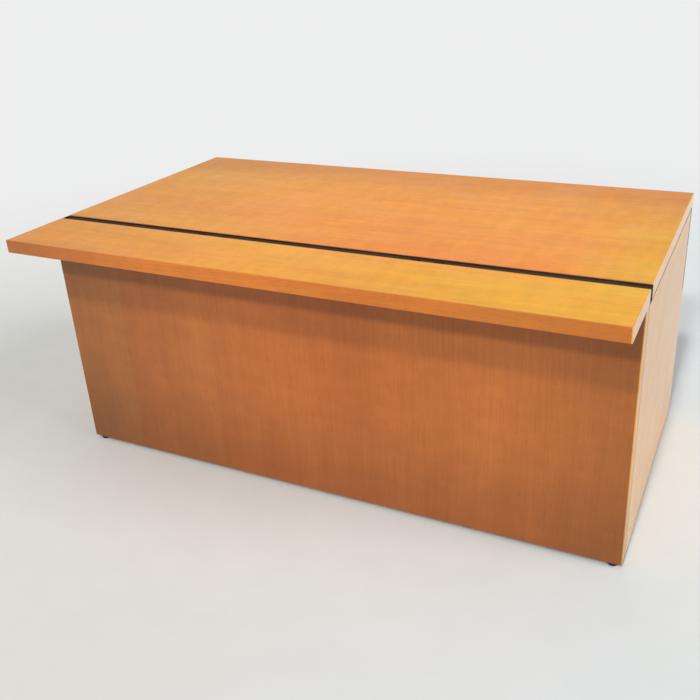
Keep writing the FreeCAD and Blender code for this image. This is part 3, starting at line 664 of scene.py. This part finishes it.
def make_plain_wood(name, pale, dark, fineness, gloss):
    """Bare or papered board with its grain along the depth of the desk."""
    material, tree, shader, place = new_finish(name, IOR=1.4, Specular_IOR_Level=0.35)
    laid = laid_out(tree, place, ALONG_DEPTH)
    figure = use_group(tree, "wood_figure", {"Vector": laid, "Fineness": fineness})
    colour = blend_of(tree, figure["Tone"], dark, pale)
    colour = blend_of(tree, times(tree, figure["Streak"], PLAIN_STREAK_SHARE), colour, dark)
    colour = blend_of(tree, times(tree, figure["Pore"], PLAIN_PORE_SHARE), colour, dark)
    wear = wear_of(tree, place, PLAIN_WEAR_WIDTH, PLAIN_WEAR_AMOUNT)
    tree.links.new(blend_of(tree, wear, colour, pale), shader.inputs["Base Color"])
    rough = plus(tree, gloss, times(tree, figure["Streak"], PLAIN_STREAK_ROUGHNESS))
    tree.links.new(rough, shader.inputs["Roughness"])
    roughen(tree, shader, figure["Streak"], PLAIN_STRENGTH, PLAIN_DEPTH)
    return material


carcass_finish = make_plain_wood(
    "carcass_board", (0.62, 0.40, 0.20, 1.0), (0.47, 0.28, 0.13, 1.0), fineness=1.0, gloss=0.48)
drawer_finish = make_plain_wood(
    "drawer_wood", (0.78, 0.61, 0.40, 1.0), (0.62, 0.45, 0.27, 1.0), fineness=1.4, gloss=0.5)
print("inside boards:", carcass_finish.name, drawer_finish.name)

# %% [markdown]
# ## Dark coatings and plastics
# The duct, its lid and the cable tray are powder coated steel, which has a fine orange-peel skin.
# The edge pulls have a dark bronze coating. The end caps and the feet are moulded plastic with a
# fine spark texture. All are a dark colour, a small bump and rubbed edges, so one recipe makes
# all of them.

# %% Dark coatings
DUST_LIFT, DUST_ADDED, DUST_SHARE = 1.5, 0.006, 0.6
COATING_WEAR_WIDTH, COATING_WEAR_AMOUNT = 0.0012, 0.7
COATING_SMEAR_ROUGHNESS = 0.15
SKIN_STRENGTH = 0.35


def make_coating(name, colour, rubbed, grain, grain_depth, gloss, shine=0.45):
    """A dark skin with a fine grain, dusty smears and rubbed edges."""
    material, tree, shader, place = new_finish(name, IOR=1.5, Specular_IOR_Level=shine)
    skin = noise_of(tree, place, grain, detail=3.0, roughness=0.55)
    smear = use_group(tree, "handling_marks", {"Vector": place})["Smear"]
    wear = wear_of(tree, place, COATING_WEAR_WIDTH, COATING_WEAR_AMOUNT)
    dusty = tuple(channel * DUST_LIFT + DUST_ADDED for channel in colour[:3]) + (1.0,)
    shade = blend_of(tree, times(tree, smear, DUST_SHARE), colour, dusty)
    tree.links.new(blend_of(tree, wear, shade, rubbed), shader.inputs["Base Color"])
    rough = plus(tree, gloss, times(tree, smear, COATING_SMEAR_ROUGHNESS))
    tree.links.new(rough, shader.inputs["Roughness"])
    roughen(tree, shader, skin, SKIN_STRENGTH, grain_depth)
    return material


duct_finish = make_coating(
    "duct_metal", (0.036, 0.023, 0.014, 1.0), (0.12, 0.10, 0.085, 1.0),
    grain=900.0, grain_depth=0.0003, gloss=0.6, shine=0.1)
tray_finish = make_coating(
    "tray_metal", (0.020, 0.020, 0.021, 1.0), (0.16, 0.16, 0.16, 1.0),
    grain=800.0, grain_depth=0.0003, gloss=0.45)
pull_finish = make_coating(
    "pull_metal", (0.045, 0.032, 0.024, 1.0), (0.22, 0.17, 0.13, 1.0),
    grain=900.0, grain_depth=0.0002, gloss=0.5, shine=0.1)
cap_finish = make_coating(
    "cap_plastic", (0.016, 0.014, 0.012, 1.0), (0.07, 0.07, 0.07, 1.0),
    grain=1500.0, grain_depth=0.0002, gloss=0.68, shine=0.1)
foot_finish = make_coating(
    "foot_plastic", (0.012, 0.012, 0.013, 1.0), (0.08, 0.08, 0.08, 1.0),
    grain=1400.0, grain_depth=0.0002, gloss=0.4)
print("coatings:", duct_finish.name, tray_finish.name, pull_finish.name)
print("plastics:", cap_finish.name, foot_finish.name)

# %% [markdown]
# ## Steel
# The runners, bars and screws are zinc plated: bright, a little blotchy, with drawing lines along
# their length. The shader's anisotropy could stretch the glints along those lines, but it would
# leave out the lines themselves, so they and the blotches go into the roughness.

# %% Steel
STEEL_BRIGHT, STEEL_DULL = (0.56, 0.57, 0.58, 1.0), (0.45, 0.46, 0.45, 1.0)
DRAWN_LINES = (14.0, 1500.0, 1500.0)
BLOTCH_SCALE, BLOTCH_SPAN, BLOTCH_SHARE = 26.0, (0.35, 0.65), 0.5
STEEL_WEAR_WIDTH, STEEL_WEAR_AMOUNT = 0.001, 0.7
STEEL_GLOSS, LINE_ROUGHNESS, BLOTCH_ROUGHNESS = 0.30, 0.22, 0.08
LINE_STRENGTH, METAL_DEPTH = 0.12, 0.0001


def make_steel():
    material, tree, shader, place = new_finish("steel", Metallic=1.0)
    laid = laid_out(tree, place, ALONG_DEPTH)
    lines = long_noise(tree, laid, DRAWN_LINES, detail=3.0, roughness=0.6)
    blotch = noise_of(tree, place, BLOTCH_SCALE, detail=4.0, roughness=0.6)
    blotch = span_of(tree, blotch, *BLOTCH_SPAN)
    shade = blend_of(tree, times(tree, blotch, BLOTCH_SHARE), STEEL_BRIGHT, STEEL_DULL)
    wear = wear_of(tree, place, STEEL_WEAR_WIDTH, STEEL_WEAR_AMOUNT)
    tree.links.new(blend_of(tree, wear, shade, STEEL_BRIGHT), shader.inputs["Base Color"])
    rough = plus(tree, STEEL_GLOSS, times(tree, lines, LINE_ROUGHNESS))
    rough = plus(tree, rough, times(tree, blotch, BLOTCH_ROUGHNESS))
    tree.links.new(rough, shader.inputs["Roughness"])
    roughen(tree, shader, lines, LINE_STRENGTH, METAL_DEPTH)
    return material


steel_finish = make_steel()
print("metal:", steel_finish.name)

# %% [markdown]
# ## Nickel
# The locks are nickel plated and were turned, so their rings run round their own axis. A wave
# texture makes rings too, but all alike; noise over the distance from the axis makes uneven ones,
# as a tool does. Each lock sits elsewhere and needs its own centre.

# %% Nickel
LOCK_BEZEL_RADIUS = 0.010
NICKEL, NICKEL_RUBBED = (0.60, 0.58, 0.54, 1.0), (0.80, 0.78, 0.74, 1.0)
RING_SCALE = 2600.0
NICKEL_WEAR_WIDTH, NICKEL_WEAR_AMOUNT = 0.0008, 0.8
NICKEL_GLOSS, RING_ROUGHNESS, RING_STRENGTH = 0.2, 0.22, 0.15


def make_turned_metal(node_name):
    """Nickel with rings round the lock's own axis, which runs along Y."""
    low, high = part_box(node_name)
    material, tree, shader, place = new_finish("nickel_" + node_name, Metallic=1.0)
    off_axis = (LOCK_BEZEL_RADIUS - high.x, 0.0, -(low.z + high.z) / 2)
    centred = laid_out(tree, place, offset=off_axis)
    radius = length_of(tree, vector_of(tree, "MULTIPLY", centred, (1.0, 0.0, 1.0)))
    ring_place = put(tree, "ShaderNodeCombineXYZ", {"X": radius}).outputs[0]
    rings = noise_of(tree, ring_place, RING_SCALE, detail=2.0)
    wear = wear_of(tree, place, NICKEL_WEAR_WIDTH, NICKEL_WEAR_AMOUNT)
    tree.links.new(blend_of(tree, wear, NICKEL, NICKEL_RUBBED), shader.inputs["Base Color"])
    rough = plus(tree, NICKEL_GLOSS, times(tree, rings, RING_ROUGHNESS))
    tree.links.new(rough, shader.inputs["Roughness"])
    roughen(tree, shader, rings, RING_STRENGTH, METAL_DEPTH)
    return material


LOCKS = ("left_lock", "right_lock", "centre_lock")
lock_finishes = {name: make_turned_metal(name) for name in LOCKS}
print("nickel for", len(lock_finishes), "locks")

# %% [markdown]
# ## Dressing the solids
# A solid keeps its mesh; only its material slot changes. Each could be dressed by hand, but like
# pieces have like names, so the start or end of a name tells which finish a solid takes.

# %% Dress the solids
FINISHES = (
    ("main_top", main_top_finish), ("rear_top", rear_top_finish), ("back_panel", panel_finish),
    ("_inner_side", inner_finish), ("right_outer_side", right_side_finish),
    ("left_outer_side", left_side_finish), ("_front", front_finish), ("_box", drawer_finish),
    ("_base", base_finish), ("_deck", carcass_finish), ("_back", carcass_finish),
    ("_pull", pull_finish), ("cable_duct", duct_finish), ("duct_lid", duct_finish),
    ("duct_end_caps", cap_finish), ("cable_tray", tray_finish), ("foot_sockets", steel_finish),
    ("foot_", foot_finish), ("_rails", steel_finish), ("_runners", steel_finish),
    ("_sliders", steel_finish), ("overhang_bars", steel_finish), ("top_screws", steel_finish),
    *lock_finishes.items(),
)


def finish_for(name):
    for part_of_name, finish in FINISHES:
        if name.endswith(part_of_name) or name.startswith(part_of_name):
            return finish
    raise ValueError(f"no finish for {name}")


for name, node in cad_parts.items():
    node.data.materials.clear()
    node.data.materials.append(finish_for(name))
print(len(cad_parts), "solids dressed")

# %% [markdown]
# ## Helpers for small parts
# The small fittings are modelled as by hand: a primitive at its size and place, faces picked by
# where they look, then edit-mode tools and a Bevel modifier. A part that repeats is modelled once
# and copied with a mesh of its own. At the end the place goes into the mesh, as in the solids.

# %% Starting a part
X, Y, Z = range(3)
HANDS = ("left", "right")
FACING_X = (0.0, math.radians(90), 0.0)
FACING_Y = (math.radians(90), 0.0, 0.0)


def pick(*pieces):
    """Select these objects alone and make the first one active."""
    bpy.ops.object.select_all(action="DESELECT")
    for piece in pieces:
        piece.select_set(True)
    bpy.context.view_layer.objects.active = pieces[0]


def settle(name):
    """Name the active object and put its place into its mesh."""
    piece = bpy.context.object
    piece.name = piece.data.name = name
    bpy.ops.object.transform_apply(location=True, rotation=True, scale=True)
    return piece


def start_box(name, low, high):
    """A cube with its lowest and highest corners at two points."""
    bpy.ops.object.select_all(action="DESELECT")
    centre = [(a + b) / 2 for a, b in zip(low, high)]
    size = [b - a for a, b in zip(low, high)]
    bpy.ops.mesh.primitive_cube_add(size=1.0, location=centre, scale=size)
    return settle(name)


def start_disc(name, radius, depth, centre, turn, sides):
    """A short cylinder, turned so that its axis lies where it is wanted."""
    bpy.ops.object.select_all(action="DESELECT")
    bpy.ops.mesh.primitive_cylinder_add(
        vertices=sides, radius=radius, depth=depth, location=centre, rotation=turn)
    return settle(name)


print("a part can be started")

# %% [markdown]
# Edit-mode tools act on all that is selected, so faces are picked in code first. A step is a tool
# with its values, kept until the faces are picked.

# %% Shaping a part
FLAT_ENOUGH = 0.9


def work_faces(piece, wanted, *steps):
    """Pick the faces that pass a test, then run edit-mode tools on them."""
    pick(piece)
    bpy.ops.object.mode_set(mode="EDIT")
    bpy.ops.mesh.select_mode(type="FACE")
    bpy.ops.mesh.select_all(action="DESELECT")
    bpy.ops.object.mode_set(mode="OBJECT")
    for face in piece.data.polygons:
        face.select = wanted(face)
    bpy.ops.object.mode_set(mode="EDIT")
    for tool, values in steps:
        tool(**values)
    bpy.ops.object.mode_set(mode="OBJECT")


def every_face(face):
    return True


def looking(axis, sign):
    """A test for faces that look along an axis."""
    return lambda face: face.normal[axis] * sign > FLAT_ENOUGH


def slice_at(axis, place):
    """A step that cuts all that is picked with a plane across an axis."""
    point, normal = [0.0, 0.0, 0.0], [0.0, 0.0, 0.0]
    point[axis] = place
    normal[axis] = 1.0
    return bpy.ops.mesh.bisect, {"plane_co": point, "plane_no": normal}


def draw_out(move):
    """A step that extrudes the picked faces along a vector."""
    return bpy.ops.mesh.extrude_region_move, {"TRANSFORM_OT_translate": {"value": move}}


def inset(width):
    """A step that insets the picked faces as one."""
    return bpy.ops.mesh.inset, {"thickness": width, "use_even_offset": True}


print("a part can be shaped")

# %% [markdown]
# A finished part has its edges rounded, is copied to its places or joined with its neighbours,
# and then gets its finish and the body that it rides on.

# %% Finishing a part
SMOOTH_ANGLE = math.radians(35)


def soften(piece, width, segments=2):
    """Round the sharp edges with a Bevel modifier and smooth what is nearly flat."""
    pick(piece)
    bevel = piece.modifiers.new("rounded", "BEVEL")
    bevel.width = width
    bevel.segments = segments
    bevel.limit_method = "ANGLE"
    bpy.ops.object.modifier_apply(modifier=bevel.name)
    bpy.ops.object.shade_smooth_by_angle(angle=SMOOTH_ANGLE)


def copy_to(pattern, move):
    """A copy with its own mesh, moved inside that mesh."""
    pick(pattern)
    bpy.ops.object.duplicate(linked=False)
    bpy.ops.transform.translate(value=move)
    bpy.ops.object.transform_apply(location=True, rotation=False, scale=False)
    return bpy.context.object


def join_as(name, pieces):
    pick(*pieces)
    bpy.ops.object.join()
    pieces[0].name = pieces[0].data.name = name
    return pieces[0]


def fit(piece, body, finish):
    """Dress a finished part and let it ride on its body."""
    piece.data.materials.clear()
    piece.data.materials.append(finish)
    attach(piece, body)
    print(piece.name, "on", body, len(piece.data.polygons), "faces")


print("a part can be finished")

# %% [markdown]
# ## Screw heads
# The runners and the cable tray are held by pan-head screws with a cross recess. A head could be
# spun from a profile. A disc with its crown inset, drawn out and shrunk takes fewer steps and
# looks the same at this size. A cross of two thin bars is then cut out of it.

# %% Screw heads
HEAD_RADIUS = 0.0038
HEAD_HEIGHT = 0.0022
HEAD_SIDES = 24
CROWN_RISE, CROWN_INSET, CROWN_SHRINK = 0.3, 0.12, 0.78
CROSS_LENGTH = 0.0042
CROSS_WIDTH = 0.0009
CROSS_DEPTH = 0.0012
HEAD_SMOOTH_ANGLE = math.radians(40)


def make_screw_head(name, axis, sign):
    """A pan head standing on the origin and facing along an axis."""
    centre, crown = [0.0, 0.0, 0.0], [0.0, 0.0, 0.0]
    centre[axis] = sign * HEAD_HEIGHT / 2
    crown[axis] = sign * HEAD_HEIGHT * CROWN_RISE
    turn = FACING_X if axis == X else FACING_Y
    head = start_disc(name, HEAD_RADIUS, HEAD_HEIGHT, centre, turn, HEAD_SIDES)
    work_faces(head, looking(axis, sign), inset(HEAD_RADIUS * CROWN_INSET), draw_out(crown),
               (bpy.ops.transform.resize, {"value": [CROWN_SHRINK] * 3}))
    recess_floor = sign * (HEAD_HEIGHT * (1 + CROWN_RISE) - CROSS_DEPTH)
    for along in {X, Y, Z} - {axis}:
        low, high = [-CROSS_WIDTH / 2] * 3, [CROSS_WIDTH / 2] * 3
        low[along], high[along] = -CROSS_LENGTH / 2, CROSS_LENGTH / 2
        low[axis], high[axis] = sorted((sign * HEAD_HEIGHT * 2, recess_floor))
        bar = start_box("cross_bar", low, high)
        cut = head.modifiers.new("cross", "BOOLEAN")
        cut.object = bar
        cut.operation = "DIFFERENCE"
        pick(head)
        bpy.ops.object.modifier_apply(modifier=cut.name)
        bpy.data.objects.remove(bar)
    bpy.ops.object.shade_smooth_by_angle(angle=HEAD_SMOOTH_ANGLE)
    return head


screw_patterns = [make_screw_head("screw_to_left", X, -1), make_screw_head("screw_to_right", X, 1)]
print(len(screw_patterns[0].data.polygons), "faces on a screw head")

# %% [markdown]
# ## Runner screws
# Each runner member is held to its drawer by three screws, seen in the channel when the drawer is
# out. One screw faces each way, and the rest are copies. An Array modifier spaces things evenly
# too, but copies can keep to the ends of each runner, whatever its length.

# %% Runner screws
RUNNER_WALL = 0.0015
SCREW_END_INSET = 0.045
PEDESTAL_DRAWERS = [f"{hand}_{row}" for hand in HANDS for row in ("upper", "middle", "file")]


def fit_runner_screws(drawer, patterns):
    box_low, box_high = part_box(f"{drawer}_box")
    low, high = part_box(f"{drawer}_runners")
    middle_z = (low.z + high.z) / 2
    stations = (low.y + SCREW_END_INSET, (low.y + high.y) / 2, high.y - SCREW_END_INSET)
    screws = []
    for pattern, web in zip(patterns, (box_low.x - RUNNER_WALL, box_high.x + RUNNER_WALL)):
        screws += [copy_to(pattern, (web, y, middle_z)) for y in stations]
    fit(join_as(f"{drawer}_runner_screws", screws), f"{drawer}_drawer", steel_finish)


for drawer in PEDESTAL_DRAWERS + ["centre"]:
    fit_runner_screws(drawer, screw_patterns)

# %% [markdown]
# ## Tray screws
# The same screw, facing the user, holds the cable tray to the back panel. A runner screw could be
# turned to face that way, but the recipe takes an axis already, so a new one is made.

# %% Tray screws
TRAY_WALL = 0.0015
TRAY_SCREW_DROP = 0.018
TRAY_SCREW_PLACES = (-0.31, -0.105, 0.105, 0.31)

facing_user = make_screw_head("screw_to_user", Y, 1)
tray_low, tray_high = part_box("cable_tray")
tray_screws = [copy_to(facing_user, (x, tray_low.y + TRAY_WALL, tray_high.z - TRAY_SCREW_DROP))
               for x in TRAY_SCREW_PLACES]
fit(join_as("cable_tray_screws", tray_screws), "carcass", steel_finish)
for pattern in screw_patterns + [facing_user]:
    bpy.data.objects.remove(pattern)

# %% [markdown]
# ## Hanging rails
# A file drawer carries its folders on two rails that clip over the drawer sides. A section drawn
# as a curve and extruded would do, but here the rail is worked as sheet is. A flat bar on the
# side's top edge is sliced lengthwise, its two outer strips are drawn down as legs, and one strip
# is drawn up as the rib that the folder hooks ride on.

# %% Hanging rails
BOARD = 0.012
RAIL_SHEET = 0.0014
RAIL_PLAY = 0.0001
RAIL_LEG = 0.010
RAIL_RIB = 0.006
RAIL_END_GAP = 0.012
RAIL_ROUNDING = 0.0003


def make_hanging_rail(name, middle_x, low, high, inward):
    leg_line = BOARD / 2 + RAIL_PLAY
    half = leg_line + RAIL_SHEET
    foot_z = high.z + RAIL_PLAY
    rail = start_box(name, (middle_x - half, low.y + RAIL_END_GAP, foot_z),
                     (middle_x + half, high.y - RAIL_END_GAP, foot_z + RAIL_SHEET))
    work_faces(rail, every_face, slice_at(X, middle_x - leg_line))
    work_faces(rail, every_face, slice_at(X, middle_x + leg_line))

    def leg(face):
        return looking(Z, -1)(face) and abs(face.center.x - middle_x) > leg_line

    def rib(face):
        return looking(Z, 1)(face) and (face.center.x - middle_x) * inward > leg_line

    work_faces(rail, leg, draw_out((0.0, 0.0, -RAIL_LEG)))
    work_faces(rail, rib, draw_out((0.0, 0.0, RAIL_RIB)))
    soften(rail, RAIL_ROUNDING)
    return rail


for hand in HANDS:
    low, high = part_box(f"{hand}_file_box")
    rails = [make_hanging_rail("rail", low.x + BOARD / 2, low, high, 1),
             make_hanging_rail("rail", high.x - BOARD / 2, low, high, -1)]
    fit(join_as(f"{hand}_hanging_rails", rails), f"{hand}_file_drawer", steel_finish)

# %% [markdown]
# ## Pen tray
# The shallow drawer has a moulded pen tray behind its front. A flat block is sliced into
# compartments, the top of each is inset and pushed down, and every edge is rounded, as plastic is.
# A Boolean could cut the hollows as well, but this way leaves plain faces, which round well.

# %% Pen tray
TRAY_RIM = 0.003
TRAY_HEIGHT = 0.017
TRAY_HOLLOW = 0.0145
TRAY_FROM_FRONT = 0.018
TRAY_WIDTH = 0.105
TRAY_SIDE_PLAY = 0.001
TRAY_ROUNDING = 0.0011
BOTTOM_TOP = 0.014
COMPARTMENT_LINES = (-0.17, 0.06, 0.21)

box_low, box_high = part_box("centre_box")
tray_inset = BOARD + TRAY_SIDE_PLAY
tray_front = box_high.y - TRAY_FROM_FRONT
tray_foot = box_low.z + BOTTOM_TOP
pen_tray = start_box("pen_tray", (box_low.x + tray_inset, tray_front - TRAY_WIDTH, tray_foot),
                     (box_high.x - tray_inset, tray_front, tray_foot + TRAY_HEIGHT))
for line in COMPARTMENT_LINES:
    work_faces(pen_tray, every_face, slice_at(X, line))
work_faces(pen_tray, looking(Z, 1),
           (bpy.ops.mesh.inset, {"thickness": TRAY_RIM, "use_individual": True}),
           draw_out((0.0, 0.0, -TRAY_HOLLOW)))
soften(pen_tray, TRAY_ROUNDING, segments=3)
fit(pen_tray, "centre_drawer", cap_finish)

# %% [markdown]
# ## Lock rims
# A pressed ring lies round each lock on the drawer front. A torus would be too round for it, so a
# disc has both its faces inset, and the two inset faces are bridged, which opens the hole. The
# ring is then rounded a little.

# %% Lock rims
RIM_OUTER = 0.0126
RIM_INNER = 0.0103
RIM_HEIGHT = 0.0011
RIM_SIDES = 64
RIM_ROUNDING = 0.0004
LOCK_DRAWERS = {"left": "left_upper", "right": "right_upper", "centre": "centre"}


def flat_of_rim(face):
    return abs(face.normal.y) > FLAT_ENOUGH


for lock, drawer in LOCK_DRAWERS.items():
    low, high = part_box(f"{lock}_lock")
    _, front_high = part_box(f"{drawer}_front")
    centre = (high.x - LOCK_BEZEL_RADIUS, front_high.y + RIM_HEIGHT / 2, (low.z + high.z) / 2)
    rim = start_disc(f"{lock}_lock_rim", RIM_OUTER, RIM_HEIGHT, centre, FACING_Y, RIM_SIDES)
    work_faces(rim, flat_of_rim, inset(RIM_OUTER - RIM_INNER), (bpy.ops.mesh.bridge_edge_loops, {}))
    soften(rim, RIM_ROUNDING, segments=3)
    fit(rim, f"{drawer}_drawer", lock_finishes[f"{lock}_lock"])

# %% [markdown]
# ## Bumpers
# Soft pads on the front edge of each deck quieten the upper drawers. A flattened sphere would hide
# half its faces in the wood, so a pad is a small disc whose outer face is inset and drawn out into
# a low dome.

# %% Bumpers
PAD_RADIUS = 0.004
PAD_HEIGHT = 0.0011
PAD_SIDES = 32
PAD_DOME, PAD_DOME_INSET = 0.0006, 0.35
PAD_INSET = 0.024
PAD_ROUNDING = 0.0003
pad_finish = make_coating(
    "bumper_rubber", (0.16, 0.155, 0.15, 1.0), (0.22, 0.21, 0.2, 1.0),
    grain=600.0, grain_depth=0.0001, gloss=0.55)

for hand in HANDS:
    low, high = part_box(f"{hand}_deck")
    pads = []
    for x in (low.x + PAD_INSET, high.x - PAD_INSET):
        centre = (x, high.y + PAD_HEIGHT / 2, (low.z + high.z) / 2)
        pad = start_disc("pad", PAD_RADIUS, PAD_HEIGHT, centre, FACING_Y, PAD_SIDES)
        work_faces(pad, looking(Y, 1), inset(PAD_RADIUS * PAD_DOME_INSET),
                   draw_out((0.0, PAD_DOME, 0.0)))
        soften(pad, PAD_ROUNDING)
        pads.append(pad)
    fit(join_as(f"{hand}_bumpers", pads), "carcass", pad_finish)

# %% [markdown]
# ## Floor
# A plain pale floor, large enough to fill the picture. A shadow catcher would show the shadow
# alone, but the sides of the desk mirror the floor, so it is a real one. A faint mottle keeps it
# from looking like paper. It is painted a little cooler towards the right, a painted correction of
# the warm light that the desk's right side bounces onto it, and it fades into the backdrop far off.

# %% Floor
FLOOR_SIZE = 60.0
FLOOR_DARK, FLOOR_PALE = (0.666, 0.672, 0.632, 1.0), (0.682, 0.688, 0.648, 1.0)
MOTTLE_SCALE, MOTTLE_SPAN = 9.0, (0.3, 0.7)
FLOOR_ROUGHNESS = (0.55, 0.68)
# A painted cool tint that offsets the warm light the desk's right side bounces onto the floor.
COOL_TINT, COOL_SPAN = (1.015, 1.06, 1.12, 1.0), (-0.4, 0.9)
FAR_COLOUR, FADE_SPAN = (0.79, 0.79, 0.785, 1.0), (1.4, 4.0)

bpy.ops.object.select_all(action="DESELECT")
bpy.ops.mesh.primitive_plane_add(size=FLOOR_SIZE, location=(0.0, 0.0, 0.0))
floor = bpy.context.object
floor.name = "floor"
floor_finish, tree, shader, place = new_finish("floor", Specular_IOR_Level=0.0)
mottle = noise_of(tree, place, MOTTLE_SCALE, detail=5.0, roughness=0.6)
mottle = span_of(tree, mottle, *MOTTLE_SPAN)
near = blend_of(tree, mottle, FLOOR_DARK, FLOOR_PALE)
# A painted cool tint that offsets the warm bounced light near the desk's right side.
near = tinted(tree, span_of(tree, axes_of(tree, place)["X"], *COOL_SPAN), near, COOL_TINT)
far = span_of(tree, length_of(tree, place), *FADE_SPAN)
tree.links.new(blend_of(tree, far, near, FAR_COLOUR), shader.inputs["Base Color"])
rough = span_of(tree, mottle, 0.0, 1.0, *FLOOR_ROUGHNESS)
tree.links.new(rough, shader.inputs["Roughness"])
floor.data.materials.append(floor_finish)
print("floor", FLOOR_SIZE, "m")
